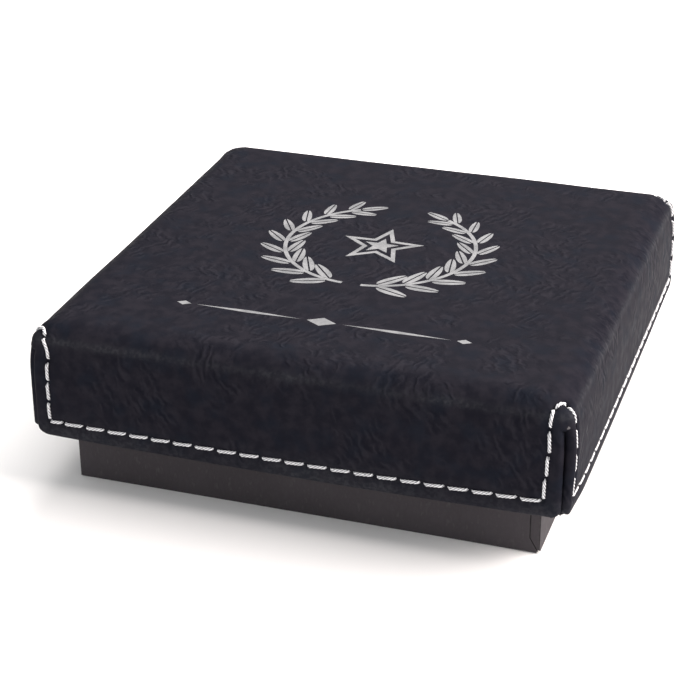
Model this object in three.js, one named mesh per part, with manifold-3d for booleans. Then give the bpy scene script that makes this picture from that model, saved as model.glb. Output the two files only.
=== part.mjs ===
// Medal box: a rigid board base, an insert that lifts out over a ribbon well, and a lift-off lid whose padded
// leatherette cover is one cross-shaped piece, topstitched all round its edge.
// Millimetres, +Z up, the origin in the middle of the underside.

import * as THREE from "three";
import { mergeVertices } from "three/addons/utils/BufferGeometryUtils.js";
import Module from "manifold-3d";

const wasm = await Module();
wasm.setup();

// The whole box
const lidSide = 95.25;
const lidHeight = 20.9;
const baseReveal = 10.5; // base wall that shows under the lid

// Sheet goods
const coverThickness = 1.05;
const lidBoardThickness = 2.4;
const baseBoardThickness = 1.8;
const stayThickness = 0.2;
const liningThickness = 0.35;
const wrapThickness = 0.25;
const velvetThickness = 0.5;
const cardThickness = 1.2;
const glueLine = 0.05;

// Fits
const slipClearance = 0.8; // lid's lining to the base, each side
const restClearance = 0.05; // under whatever lies loose on its seat
const insertClearance = 0.4;
const cutOverrun = 2;

// Lid cover
const coverEdgeRadius = 5.4;
const wallCornerRadius = 1.9;
const crownCornerRadius = 3.4;
const rimRoll = 1.2;
const hemWidth = 6.5;
const slitWidth = 0.24;
const slitTopDrop = 4; // from the lid's top to the end of each corner slit
const flapEndRoll = 0.85;
const flapCornerRadius = 1.7;

// Seam
const threadRadius = 0.36;
const grooveRadius = 0.62;
const stitchPitch = 4;
const threadDip = 0.04; // thread's middle line below the leather at a needle hole
const threadRise = 0.24;
const seamRowHeight = 3.5;
const seamInset = 4.1;
const frontSeamInsetLeft = 4;
const frontSeamInsetLeftTop = 4.6; // the seam's legs lean a little
const frontSeamInsetRight = 4.6;
const frontSeamInsetRightTop = 3.9;
const rightSeamInsetNear = 2.1;
const archHeight = 4.2; // seam's crest above its start, along the leather
const seamStart = 0.8; // start of the arch, above the start of the rounded edge

// Lid body
const boardChamfer = 1.4;
const boardSetback = 0.8; // lid boards and lining above the rim
const stayLeg = 9;

// Base body
const wrapTurnIn = 8;
const liningDrop = 2; // lining's upper edge below the base's rim
const tabWidth = 1.85; // strip at a corner that the next wrap panel leaves bare
const tabMitreHeight = 2.8;
const tabStep = 0.1;
const wellHeight = 8.6;
const riserThickness = 2;

// Insert
const insertDrop = 2.6; // insert's face below the base's rim
const insertEdgeRadius = 1.5;
const foamFloorThickness = 5;
const recessRadius = 35.3;
const notchRadius = 8.5;
const notchReach = 37.5; // notch's middle from the recess's middle
const slotLength = 40;
const slotWidth = 5;
const slotMiddle = 24; // behind the recess's middle

// Smoothness
const arcSteps = 3;
const cornerSteps = 4;
const crownSteps = 5;
const roundSteps = 48;
const archSteps = 10;
const threadSides = 5;
const grooveSides = 6;
const threadRingsPerStitch = 3;

const quarterTurn = Math.PI / 2;
const eighthTurn = Math.PI / 4;
const wallNames = ["front", "right", "back", "left"];
const cornerNames = ["front_right", "back_right", "back_left", "front_left"];

// Sizes that follow: the lid, outside to inside, with heights above its rim
const lidHalf = lidSide / 2;
const hemThickness = 2 * coverThickness;
const stayHalf = lidHalf - hemThickness - glueLine;
const lidBoardHalf = stayHalf - stayThickness - glueLine;
const lidLiningHalf = lidBoardHalf - lidBoardThickness - glueLine;
const lidInnerHalf = lidLiningHalf - liningThickness;
const lidBoardTop = lidHeight - hemThickness - glueLine;
const lidBoardUnderside = lidBoardTop - lidBoardThickness;
const lidCeiling = lidBoardUnderside - glueLine - liningThickness;
const crownStart = lidHeight - coverEdgeRadius;
const slitTop = lidHeight - slitTopDrop;

// The base, outside to inside, with heights above the table
const baseHalf = lidInnerHalf - slipClearance;
const baseHeight = baseReveal + lidCeiling - restClearance;
const baseStayHalf = baseHalf - wrapThickness - glueLine;
const baseBoardHalf = baseStayHalf - stayThickness - glueLine;
const turnInHalf = baseBoardHalf - baseBoardThickness - glueLine;
const baseLiningHalf = turnInHalf - wrapThickness - glueLine;
const baseInnerHalf = baseLiningHalf - liningThickness;
const baseBoardFloor = wrapThickness + glueLine;
const baseLiningFloor = baseBoardFloor + baseBoardThickness + glueLine;
const baseFloorTop = baseLiningFloor + liningThickness;

// The insert, with heights above its underside
const insertHalf = baseInnerHalf - insertClearance;
const insertPlace = baseFloorTop + wellHeight + restClearance;
const insertHeight = baseHeight - insertDrop - insertPlace;
const insertCoreHalf = insertHalf - velvetThickness - glueLine;
const insertCoreRadius = insertEdgeRadius - velvetThickness - glueLine;
const foamFloorPlace = cardThickness + glueLine;
const foamFramePlace = foamFloorPlace + foamFloorThickness + glueLine;
const foamFrameTop = insertHeight - velvetThickness - glueLine;
const recessFloor = foamFramePlace + velvetThickness;

// Materials
function finish(color, roughness) {
  return new THREE.MeshStandardMaterial({ color, roughness, metalness: 0 });
}

const leatherette = () => finish(0x33323a, 0.6);
const thread = () => finish(0xe8e6e0, 0.8);
const wadding = () => finish(0xcfcdc6, 0.95);
const greyBoard = () => finish(0x8d8880, 0.9);
const stayPaper = () => finish(0xb8a888, 0.85);
const liningPaper = () => finish(0x1d1c1f, 0.85);
const wrapPaper = () => finish(0x3a3638, 0.75);
const foam = () => finish(0x26262a, 0.95);
const velvet = () => finish(0x17171a, 1);

// Solids and meshes
function solid(geometry) {
  const bare = geometry.clone();
  bare.deleteAttribute("normal");
  bare.deleteAttribute("uv");
  const merged = mergeVertices(bare);
  const mesh = new wasm.Mesh({
    numProp: 3,
    vertProperties: merged.attributes.position.array,
    triVerts: new Uint32Array(merged.index.array),
  });
  return new wasm.Manifold(mesh);
}

function geometryOf(body) {
  const mesh = body.getMesh();
  const geometry = new THREE.BufferGeometry();
  geometry.setAttribute("position", new THREE.BufferAttribute(mesh.vertProperties, mesh.numProp));
  geometry.setIndex(new THREE.BufferAttribute(mesh.triVerts, 1));
  const faceted = geometry.toNonIndexed();
  faceted.computeVertexNormals();
  return faceted;
}

function piece(name, geometry, material) {
  const mesh = new THREE.Mesh(geometry, material);
  mesh.name = name;
  return mesh;
}

// Four copies of a geometry, a quarter turn apart about the box's middle
function roundTheBox(geometry) {
  return wallNames.map((_, index) => solid(geometry.clone().rotateZ(index * quarterTurn)));
}

function cut(body, cutters) {
  return cutters.reduce((left, cutter) => left.subtract(cutter), body);
}

function box(xLow, xHigh, yLow, yHigh, zLow, zHigh) {
  const geometry = new THREE.BoxGeometry(xHigh - xLow, yHigh - yLow, zHigh - zLow);
  return geometry.translate((xLow + xHigh) / 2, (yLow + yHigh) / 2, (zLow + zHigh) / 2);
}

function squareSlab(half, zLow, zHigh) {
  return box(-half, half, -half, half, zLow, zHigh);
}

function squareBand(outerHalf, innerHalf, zLow, zHigh) {
  const hole = solid(squareSlab(innerHalf, zLow - cutOverrun, zHigh + cutOverrun));
  return solid(squareSlab(outerHalf, zLow, zHigh)).subtract(hole);
}

function drum(radius, zLow, zHigh) {
  const geometry = new THREE.CylinderGeometry(radius, radius, zHigh - zLow, roundSteps);
  return geometry.rotateX(quarterTurn).translate(0, 0, (zLow + zHigh) / 2);
}

function prism(shape, zLow, zHigh) {
  const options = { depth: zHigh - zLow, bevelEnabled: false, curveSegments: arcSteps };
  return new THREE.ExtrudeGeometry(shape, options).translate(0, 0, zLow);
}

// Points of a square with rounded corners, anticlockwise from the right wall
function squareRing(level) {
  const steps = level.corner > 0 ? cornerSteps : 0;
  const points = [];
  for (let quarter = 0; quarter < wallNames.length; quarter++) {
    const middle = new THREE.Vector2(level.half - level.corner, level.half - level.corner);
    for (let step = 0; step <= steps; step++) {
      const turn = quarterTurn * (steps > 0 ? step / steps : 0);
      const arm = new THREE.Vector2(Math.cos(turn), Math.sin(turn)).multiplyScalar(level.corner);
      const point = middle.clone().add(arm).rotateAround(new THREE.Vector2(), quarter * quarterTurn);
      points.push(new THREE.Vector3(point.x, point.y, level.z));
    }
  }
  return points;
}

function surfaceOf(vertices, faces) {
  const geometry = new THREE.BufferGeometry().setFromPoints(vertices);
  geometry.setIndex(faces);
  return geometry;
}

// Two triangles for each side between one ring of points and the next
function bandFaces(lower, upper, count) {
  const faces = [];
  for (let side = 0; side < count; side++) {
    const next = (side + 1) % count;
    faces.push(lower + side, lower + next, upper + next);
    faces.push(lower + side, upper + next, upper + side);
  }
  return faces;
}

// A closed block through level square rings, from the lowest to the highest
function loft(levels) {
  const rings = levels.map(squareRing);
  const count = rings[0].length;
  const vertices = rings.flat();
  const faces = [];
  for (let ring = 0; ring + 1 < rings.length; ring++) {
    faces.push(...bandFaces(ring * count, (ring + 1) * count, count));
  }
  const topRing = (rings.length - 1) * count;
  const bottomMiddle = vertices.push(new THREE.Vector3(0, 0, levels[0].z)) - 1;
  const topMiddle = vertices.push(new THREE.Vector3(0, 0, levels[rings.length - 1].z)) - 1;
  for (let side = 0; side < count; side++) {
    const next = (side + 1) % count;
    faces.push(bottomMiddle, next, side);
    faces.push(topMiddle, topRing + side, topRing + next);
  }
  return surfaceOf(vertices, faces);
}

// An unbroken tube through a closed run of places, each with a point and the surface's normal there
function closedTube(places, radius, sides) {
  const vertices = [];
  const faces = [];
  places.forEach((place, index) => {
    const before = places[(index + places.length - 1) % places.length].point;
    const after = places[(index + 1) % places.length].point;
    const incoming = place.point.clone().sub(before).normalize();
    const outgoing = after.clone().sub(place.point).normalize();
    const along = incoming.clone().add(outgoing).normalize();
    const across = along.clone().cross(place.normal).normalize();
    const up = across.clone().cross(along);
    across.divideScalar(Math.cos(incoming.angleTo(outgoing) / 2)); // a mitred bend keeps the tube's width
    for (let side = 0; side < sides; side++) {
      const turn = (2 * Math.PI * side) / sides;
      const arm = up.clone().multiplyScalar(Math.cos(turn)).addScaledVector(across, Math.sin(turn));
      vertices.push(place.point.clone().addScaledVector(arm, radius));
    }
    const next = ((index + 1) % places.length) * sides;
    faces.push(...bandFaces(index * sides, next, sides));
  });
  return surfaceOf(vertices, faces);
}

// Lid cover

// The cover's outline at a place on its rounded upper edge, or that much further in
function crownLevel(turn, inset) {
  const radius = coverEdgeRadius - inset;
  const corner = wallCornerRadius + (crownCornerRadius - wallCornerRadius) * Math.sin(turn);
  return {
    half: lidHalf - coverEdgeRadius + radius * Math.cos(turn),
    corner: corner - inset,
    z: crownStart + radius * Math.sin(turn),
  };
}

function crownLevels(inset) {
  const levels = [];
  for (let step = 0; step <= crownSteps; step++) {
    levels.push(crownLevel((quarterTurn * step) / crownSteps, inset));
  }
  return levels;
}

function rimLevels() {
  const levels = [];
  for (let step = 0; step <= arcSteps; step++) {
    const turn = (quarterTurn * step) / arcSteps;
    levels.push({
      half: lidHalf - rimRoll * (1 - Math.sin(turn)),
      corner: wallCornerRadius,
      z: rimRoll * (1 - Math.cos(turn)),
    });
  }
  return levels;
}

function cushionBlock(inset, zLow) {
  const crown = crownLevels(inset);
  return solid(loft([{ ...crown[0], z: zLow }, ...crown]));
}

// The block that the boards fill inside the cover and the wadding, down past the rim
function boardBlock() {
  const half = lidHalf - hemThickness;
  const top = lidHeight - hemThickness;
  return solid(
    loft([
      { half, corner: 0, z: -cutOverrun },
      { half, corner: 0, z: top - boardChamfer },
      { half: half - boardChamfer, corner: 0, z: top },
    ]),
  );
}

// The posts at the four corners where the hem is doubled and no wadding lies
function cornerPosts(grow) {
  const inner = lidHalf - hemWidth - grow;
  return roundTheBox(box(inner, lidHalf + cutOverrun, inner, lidHalf + cutOverrun, -cutOverrun, lidHeight));
}

function waddingBlock(inset, grow) {
  return cut(cushionBlock(inset, hemWidth + grow), cornerPosts(grow));
}

// A slit between two flaps, open to the outside between their rolled edges, on the front right diagonal
function cornerSlit() {
  const rollAcross = flapEndRoll + slitWidth / 2;
  const rollOut = Math.SQRT2 * (lidHalf - flapEndRoll) - rollAcross;
  const inner = Math.SQRT2 * (lidHalf - hemThickness) - cutOverrun;
  const reach = flapEndRoll + cutOverrun;
  const mouthOut = rollOut + reach * Math.cos(eighthTurn);
  const mouthAcross = rollAcross + reach * Math.sin(eighthTurn);
  const shape = new THREE.Shape();
  shape.moveTo(inner, -slitWidth / 2);
  shape.absarc(rollOut, -rollAcross, flapEndRoll, quarterTurn, -eighthTurn, true);
  shape.lineTo(mouthOut, -mouthAcross);
  shape.lineTo(mouthOut, mouthAcross);
  shape.absarc(rollOut, rollAcross, flapEndRoll, eighthTurn, -quarterTurn, true);
  shape.lineTo(inner, slitWidth / 2);
  return prism(shape, -cutOverrun, slitTop).rotateZ(-eighthTurn);
}

// What the rounded lower corners of the front flap leave out, up to the slits
function flapCornerWaste() {
  const shape = new THREE.Shape();
  shape.moveTo(lidHalf - flapCornerRadius, -cutOverrun);
  shape.lineTo(lidHalf + cutOverrun, -cutOverrun);
  shape.lineTo(lidHalf + cutOverrun, flapCornerRadius);
  shape.absarc(lidHalf - flapCornerRadius, flapCornerRadius, flapCornerRadius, 0, -quarterTurn, true);
  const right = prism(shape, lidHalf - hemThickness - cutOverrun, lidHalf + cutOverrun);
  const standing = right.rotateX(quarterTurn);
  const sector = new THREE.Shape();
  sector.moveTo(0, 0);
  sector.lineTo(lidSide, -lidSide);
  sector.lineTo(0, -lidSide);
  const ownSide = solid(prism(sector, -2 * cutOverrun, lidHeight));
  const waste = geometryOf(solid(standing).intersect(ownSide));
  const turned = waste.clone().scale(-1, 1, 1);
  const mirrored = flipped(turned);
  return [...roundTheBox(waste), ...roundTheBox(mirrored)];
}

// A mirrored geometry with its faces turned outward again
function flipped(geometry) {
  const merged = mergeVertices(new THREE.BufferGeometry().setAttribute("position", geometry.attributes.position));
  merged.setIndex(Array.from(merged.index.array).reverse());
  return merged;
}

// Seam

const flapSeams = [
  {
    start: frontSeamInsetLeft,
    startTop: frontSeamInsetLeftTop,
    end: frontSeamInsetRight,
    endTop: frontSeamInsetRightTop,
  },
  { start: rightSeamInsetNear, startTop: rightSeamInsetNear, end: seamInset, endTop: seamInset },
  { start: seamInset, startTop: seamInset, end: seamInset, endTop: seamInset },
  { start: seamInset, startTop: seamInset, end: seamInset, endTop: seamInset },
];

// A place on the cover near a corner: `inset` is its distance from the flap's end, `up` from the crown's start
function coverPlace(corner, inset, up) {
  const tilt = Math.max(0, up) / coverEdgeRadius;
  const level = crownLevel(tilt, 0);
  const side = Math.sign(inset);
  const bendShare = Math.min(1, Math.abs(inset) / level.corner);
  const bend = side * Math.asin(bendShare * Math.sin(eighthTurn)) - eighthTurn;
  const outward = new THREE.Vector3(Math.cos(bend), Math.sin(bend), 0);
  const point = new THREE.Vector3(level.half - level.corner, level.corner - level.half, 0);
  point.addScaledVector(outward, level.corner);
  const straight = Math.max(0, Math.abs(inset) - level.corner);
  point.addScaledVector(new THREE.Vector3(-outward.y, outward.x, 0), side * straight);
  point.z = up < 0 ? crownStart + up : level.z;
  const normal = outward.multiplyScalar(Math.cos(tilt));
  normal.z = Math.sin(tilt);
  const axis = new THREE.Vector3(0, 0, 1);
  point.applyAxisAngle(axis, corner * quarterTurn);
  normal.applyAxisAngle(axis, corner * quarterTurn);
  return { point, normal };
}

function between(first, last, share) {
  return { point: first.point.clone().lerp(last.point, share), normal: first.normal.clone() };
}

// The seam's runs, in order round the lid: along a flap's rim, up its edge, over the corner and down the next edge
function seamRuns() {
  const rowUp = seamRowHeight - crownStart;
  return flapSeams.flatMap((seam, flap) => {
    const lastCorner = (flap + flapSeams.length - 1) % flapSeams.length;
    const nextSeam = flapSeams[(flap + 1) % flapSeams.length];
    const rowStart = coverPlace(lastCorner, seam.start, rowUp);
    const rowEnd = coverPlace(flap, -seam.end, rowUp);
    const legTop = coverPlace(flap, -seam.endTop, seamStart);
    const nextTop = coverPlace(flap, nextSeam.startTop, seamStart);
    const nextRow = coverPlace(flap, nextSeam.start, rowUp);
    const arch = (share) => {
      const turn = Math.PI * share;
      const inset = share < 1 / 2 ? seam.endTop : nextSeam.startTop;
      return coverPlace(flap, -inset * Math.cos(turn), seamStart + archHeight * Math.sin(turn));
    };
    const archHalfWidth = (seam.endTop + nextSeam.startTop) / 2 / Math.SQRT2;
    const archLength = (Math.PI * Math.hypot(archHeight, archHalfWidth)) / Math.SQRT2;
    return [
      { at: (share) => between(rowStart, rowEnd, share), length: rowStart.point.distanceTo(rowEnd.point) },
      { at: (share) => between(rowEnd, legTop, share), length: rowEnd.point.distanceTo(legTop.point) },
      { at: arch, length: archLength, bent: true },
      { at: (share) => between(nextTop, nextRow, share), length: nextTop.point.distanceTo(nextRow.point) },
    ];
  });
}

// The groove that the thread pulls into the leather
function seamGroove() {
  const places = seamRuns().flatMap((run) => {
    const steps = run.bent ? archSteps : 1;
    return Array.from({ length: steps }, (_, step) => run.at(step / steps));
  });
  return solid(closedTube(places, grooveRadius, grooveSides));
}

// The thread lies over the leather between its needle holes and dips at each of them
function seamThread() {
  const places = seamRuns().flatMap((run) => {
    const stitches = Math.max(1, Math.round(run.length / stitchPitch));
    const rings = stitches * threadRingsPerStitch;
    return Array.from({ length: rings }, (_, ring) => {
      const place = run.at(ring / rings);
      const lift = ring % threadRingsPerStitch === 0 ? -threadDip : threadRise;
      place.point.addScaledVector(place.normal, lift);
      return place;
    });
  });
  return closedTube(places, threadRadius, threadSides);
}

function lidCover() {
  const outside = solid(loft([...rimLevels(), ...crownLevels(0)]));
  const hollow = outside.subtract(boardBlock()).subtract(waddingBlock(coverThickness, 0));
  const slit = cut(hollow, roundTheBox(cornerSlit()));
  return geometryOf(cut(slit, flapCornerWaste()).subtract(seamGroove()));
}

function lidWadding() {
  return geometryOf(waddingBlock(coverThickness + glueLine, glueLine).subtract(boardBlock()));
}

// A wall board at the front. The front and back boards run full length, the side boards between them.
function wallBoard(half, thickness, zLow, zHigh, index) {
  const reach = index % 2 === 0 ? half : half - thickness - glueLine;
  return box(-reach, reach, -half, thickness - half, zLow, zHigh).rotateZ(index * quarterTurn);
}

// A strip of stay paper folded round the boards' outer edge at the front right corner
function cornerStay(outerHalf, zLow, zHigh) {
  const inner = outerHalf - stayThickness;
  const end = outerHalf - stayLeg;
  const shape = new THREE.Shape();
  shape.moveTo(outerHalf, -outerHalf);
  shape.lineTo(outerHalf, -end);
  shape.lineTo(inner, -end);
  shape.lineTo(inner, -inner);
  shape.lineTo(end, -inner);
  shape.lineTo(end, -outerHalf);
  return prism(shape, zLow, zHigh);
}

function topBoard() {
  return loft([
    { half: lidBoardHalf, corner: 0, z: lidBoardUnderside },
    { half: lidBoardHalf, corner: 0, z: lidBoardTop - boardChamfer },
    { half: lidBoardHalf - boardChamfer, corner: 0, z: lidBoardTop },
  ]);
}

function makeLid() {
  const lid = new THREE.Group();
  const wallTop = lidBoardUnderside - glueLine;
  lid.add(piece("lid_cover", lidCover(), leatherette()));
  lid.add(piece("lid_seam_thread", seamThread(), thread()));
  lid.add(piece("lid_wadding", lidWadding(), wadding()));
  lid.add(piece("lid_board_top", topBoard(), greyBoard()));
  wallNames.forEach((name, index) => {
    const board = wallBoard(lidBoardHalf, lidBoardThickness, boardSetback, wallTop, index);
    lid.add(piece(`lid_board_${name}`, board, greyBoard()));
  });
  cornerNames.forEach((name, index) => {
    const stay = piece(`lid_stay_${name}`, cornerStay(stayHalf, boardSetback, wallTop), stayPaper());
    stay.rotation.z = index * quarterTurn;
    lid.add(stay);
  });
  const ceiling = squareSlab(lidLiningHalf, lidCeiling, lidCeiling + liningThickness);
  lid.add(piece("lid_lining_top", ceiling, liningPaper()));
  const band = squareBand(lidLiningHalf, lidInnerHalf, boardSetback, lidCeiling - glueLine);
  lid.add(piece("lid_lining_walls", geometryOf(band), liningPaper()));
  return lid;
}

// Base

// The bare strip at the right end of a wrap panel, mitred where the paper folds under the box
function tabWaste() {
  const shape = new THREE.Shape();
  shape.moveTo(baseHalf - tabWidth, baseHeight + cutOverrun);
  shape.lineTo(baseHalf - tabWidth, tabMitreHeight);
  shape.lineTo(baseHalf, 0);
  shape.lineTo(baseHalf + cutOverrun, 0);
  shape.lineTo(baseHalf + cutOverrun, baseHeight + cutOverrun);
  return prism(shape, baseHalf - tabStep, baseHalf + cutOverrun).rotateX(quarterTurn);
}

// The wrap covers the underside and the walls, and turns over the rim down the inside
function baseWrap() {
  const aboveRim = baseHeight + cutOverrun;
  const turnInEnd = baseHeight - wrapTurnIn;
  const outside = solid(squareSlab(baseHalf, 0, baseHeight));
  const wallSpace = squareBand(
    baseHalf - wrapThickness,
    turnInHalf,
    wrapThickness,
    baseHeight - wrapThickness,
  );
  const below = solid(squareSlab(turnInHalf + glueLine, wrapThickness, turnInEnd));
  const middle = solid(squareSlab(turnInHalf - wrapThickness, wrapThickness, aboveRim));
  return geometryOf(cut(outside, [wallSpace, below, middle, ...roundTheBox(tabWaste())]));
}

function baseLining() {
  const outside = solid(squareSlab(baseLiningHalf, baseLiningFloor, baseHeight - liningDrop));
  return geometryOf(outside.subtract(solid(squareSlab(baseInnerHalf, baseFloorTop, baseHeight))));
}

function makeBase() {
  const base = new THREE.Group();
  const floorTop = baseBoardFloor + baseBoardThickness;
  const wallTop = baseHeight - wrapThickness - glueLine;
  const wallFoot = floorTop + glueLine;
  base.add(piece("base_wrap", baseWrap(), wrapPaper()));
  base.add(piece("base_board_floor", squareSlab(baseBoardHalf, baseBoardFloor, floorTop), greyBoard()));
  wallNames.forEach((name, index) => {
    const board = wallBoard(baseBoardHalf, baseBoardThickness, wallFoot, wallTop, index);
    base.add(piece(`base_board_${name}`, board, greyBoard()));
  });
  cornerNames.forEach((name, index) => {
    const stay = piece(`base_stay_${name}`, cornerStay(baseStayHalf, baseBoardFloor, wallTop), stayPaper());
    stay.rotation.z = index * quarterTurn;
    base.add(stay);
  });
  base.add(piece("base_lining", baseLining(), liningPaper()));
  const riserFoot = baseFloorTop + glueLine;
  wallNames.forEach((name, index) => {
    const place = baseInnerHalf - glueLine;
    const riser = wallBoard(place, riserThickness, riserFoot, baseFloorTop + wellHeight, index);
    base.add(piece(`riser_${name}`, riser, greyBoard()));
  });
  return base;
}

// Insert

// The round recess and its two finger notches, or that much wider
function recessBlock(grow, zLow) {
  const zHigh = insertHeight + cutOverrun;
  const recess = solid(drum(recessRadius + grow, zLow, zHigh));
  const notch = drum(notchRadius + grow, zLow, zHigh).translate(notchReach, 0, 0);
  const frontRight = solid(notch.clone().rotateZ(-eighthTurn));
  const backLeft = solid(notch.clone().rotateZ(Math.PI - eighthTurn));
  return recess.add(frontRight).add(backLeft);
}

function ribbonSlot() {
  const half = slotLength / 2;
  const front = slotMiddle - slotWidth / 2;
  return solid(box(-half, half, front, front + slotWidth, -cutOverrun, insertHeight));
}

// A plain block whose upper edge is rounded
function softBlock(half, zLow, zHigh, radius) {
  const levels = [{ half, corner: radius, z: zLow }];
  for (let step = 0; step <= arcSteps; step++) {
    const turn = (quarterTurn * step) / arcSteps;
    levels.push({
      half: half - radius * (1 - Math.cos(turn)),
      corner: radius,
      z: zHigh - radius * (1 - Math.sin(turn)),
    });
  }
  return solid(loft(levels));
}

// Velvet over the face, down the sides to the card's underside, and down the recess's wall
function insertVelvet() {
  const outside = softBlock(insertHalf, 0, insertHeight, insertEdgeRadius);
  const skinRadius = insertEdgeRadius - velvetThickness;
  const faceUnder = insertHeight - velvetThickness;
  const core = softBlock(insertHalf - velvetThickness, -cutOverrun, faceUnder, skinRadius);
  const lip = recessBlock(velvetThickness, foamFramePlace).intersect(outside);
  return geometryOf(outside.subtract(core).add(lip).subtract(recessBlock(0, -cutOverrun)));
}

function recessVelvet() {
  const disc = recessBlock(-glueLine, foamFramePlace);
  const top = solid(squareSlab(insertHalf, foamFramePlace, recessFloor));
  return geometryOf(disc.intersect(top).subtract(ribbonSlot()));
}

function foamFrame() {
  const block = softBlock(insertCoreHalf, foamFramePlace, foamFrameTop, insertCoreRadius);
  return geometryOf(block.subtract(recessBlock(velvetThickness + glueLine, 0)));
}

// A sheet under the velvet, with the slot that a medal's ribbon goes down
function slottedSheet(zLow, zHigh) {
  const level = { half: insertCoreHalf, corner: insertCoreRadius };
  const sheet = solid(loft([{ ...level, z: zLow }, { ...level, z: zHigh }]));
  return geometryOf(sheet.subtract(ribbonSlot()));
}

function makeInsert() {
  const insert = new THREE.Group();
  const foamFloor = slottedSheet(foamFloorPlace, foamFloorPlace + foamFloorThickness);
  insert.add(piece("insert_card", slottedSheet(0, cardThickness), greyBoard()));
  insert.add(piece("insert_foam_floor", foamFloor, foam()));
  insert.add(piece("insert_foam_frame", foamFrame(), foam()));
  insert.add(piece("insert_velvet_face", insertVelvet(), velvet()));
  insert.add(piece("insert_velvet_floor", recessVelvet(), velvet()));
  return insert;
}

const medalBox = new THREE.Group();
const base = makeBase();
const insert = makeInsert();
insert.position.z = insertPlace;
const lid = makeLid();
lid.position.z = baseReveal;
medalBox.add(base, insert, lid);

export default medalBox;
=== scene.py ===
"""Looks of a square medal box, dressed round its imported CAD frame.

A paper-wrapped tray holds a velvet insert that lifts out. A padded lid of black-navy leatherette lifts off.
One run of twisted off-white thread follows the edge of the lid's cross-shaped cover.
Lengths are metres, in the CAD's own frame.
"""

import logging
import math
from collections.abc import Callable, Sequence
from dataclasses import dataclass, field
from enum import Enum
from functools import cached_property

import bmesh
import bpy
from bmesh.types import BMesh, BMFace, BMVert
from mathutils import Matrix, Vector, noise
from mathutils.kdtree import KDTree


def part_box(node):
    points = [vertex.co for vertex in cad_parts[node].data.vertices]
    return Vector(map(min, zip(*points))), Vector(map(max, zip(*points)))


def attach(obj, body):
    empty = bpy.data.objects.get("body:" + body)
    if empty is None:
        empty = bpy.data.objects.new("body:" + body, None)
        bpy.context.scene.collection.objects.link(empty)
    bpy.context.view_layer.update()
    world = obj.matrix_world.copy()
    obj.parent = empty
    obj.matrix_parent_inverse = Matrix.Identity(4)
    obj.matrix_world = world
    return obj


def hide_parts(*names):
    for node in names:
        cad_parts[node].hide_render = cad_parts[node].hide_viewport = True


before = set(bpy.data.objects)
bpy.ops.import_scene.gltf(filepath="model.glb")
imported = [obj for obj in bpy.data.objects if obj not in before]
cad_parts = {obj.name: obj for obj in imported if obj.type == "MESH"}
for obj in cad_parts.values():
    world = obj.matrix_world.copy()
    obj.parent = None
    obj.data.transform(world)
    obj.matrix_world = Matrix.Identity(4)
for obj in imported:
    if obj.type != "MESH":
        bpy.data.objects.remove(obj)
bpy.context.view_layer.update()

log = logging.getLogger("medal_box")

MM = 0.001
TURN = 2 * math.pi
QUARTER_TURN = math.pi / 2
EIGHTH_TURN = math.pi / 4
DIAGONAL = math.sqrt(2)
SHARP_ANGLE = EIGHTH_TURN / 1.5
FLAT_ANGLE = math.radians(2)
MERGE_DISTANCE = 1e-7

Colour = tuple[float, float, float]
Socket = bpy.types.NodeSocket
Given = Socket | None
Feed = Socket | float
Source = Feed | Colour | Vector
Place = Callable[[int, int], Vector]


class Wall(Enum):
    """The four walls, in their order round the box."""

    FRONT = 0
    RIGHT = 1
    BACK = 2
    LEFT = 3


class Corner(Enum):
    """The four corners, in their order round the box."""

    FRONT_RIGHT = 0
    BACK_RIGHT = 1
    BACK_LEFT = 2
    FRONT_LEFT = 3


class Body(Enum):
    """The bodies that the pieces ride on."""

    BASE = "base"
    INSERT = "insert"
    LID = "lid"


class Slot(Enum):
    """The record's material slots of the new pieces."""

    LEATHERETTE = "leatherette"
    THREAD = "seam_thread"
    WADDING = "wadding"
    WRAP = "wrap_paper"
    FOAM = "foam"
    VELVET = "velvet"


class Sum(Enum):
    """Sums that a material's Math node works out."""

    TIMES = "MULTIPLY"
    LESS = "SUBTRACT"
    SIZE = "ABSOLUTE"
    LOWER = "MINIMUM"
    HIGHER = "MAXIMUM"


# Small sums


def smooth_share(value: float, low: float, high: float) -> float:
    """Return how far value is from low to high, eased at both ends."""
    share = min(1.0, max(0.0, (value - low) / (high - low)))
    return share * share * (3 - 2 * share)


def bell(distance: float, width: float) -> float:
    """Return 1 at no distance, falling softly to 0 past the width."""
    return math.exp(-((distance / width) ** 2))


def between(first: float, last: float, share: float) -> float:
    """Return the value at a share of the way from first to last."""
    return first + (last - first) * share


def steps(first: float, last: float, count: int) -> list[float]:
    """Return count even steps from first towards last, without the last."""
    return [first + (last - first) * step / count for step in range(count)]


# Meshes


def closed_grid(columns: int, rows: int, place: Place, ring: bool = False) -> BMesh:
    """Wrap a grid round into a tube and place each of its points.

    Args:
        columns: Steps round the tube.
        rows: Steps along the tube.
        place: Gives the point at a column and row.
        ring: Whether the last row meets the first.

    Returns:
        The tube, with its seam merged.
    """
    mesh = bmesh.new()
    bmesh.ops.create_grid(mesh, x_segments=columns, y_segments=rows, size=0.5)
    turns = rows if ring else rows + 1
    for vert in mesh.verts:
        column = round((vert.co.x + 0.5) * columns) % columns
        row = round((vert.co.y + 0.5) * rows) % turns
        vert.co = place(column, row)
    bmesh.ops.remove_doubles(mesh, verts=mesh.verts, dist=MERGE_DISTANCE)
    return mesh


def point_outward(mesh: BMesh) -> None:
    """Point a closed mesh's faces outward."""
    bmesh.ops.recalc_face_normals(mesh, faces=mesh.faces)


def quarter_turns(count: int) -> Matrix:
    """Return the turn of a number of quarters round the box."""
    return Matrix.Rotation(count * QUARTER_TURN, 3, "Z")


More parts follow.
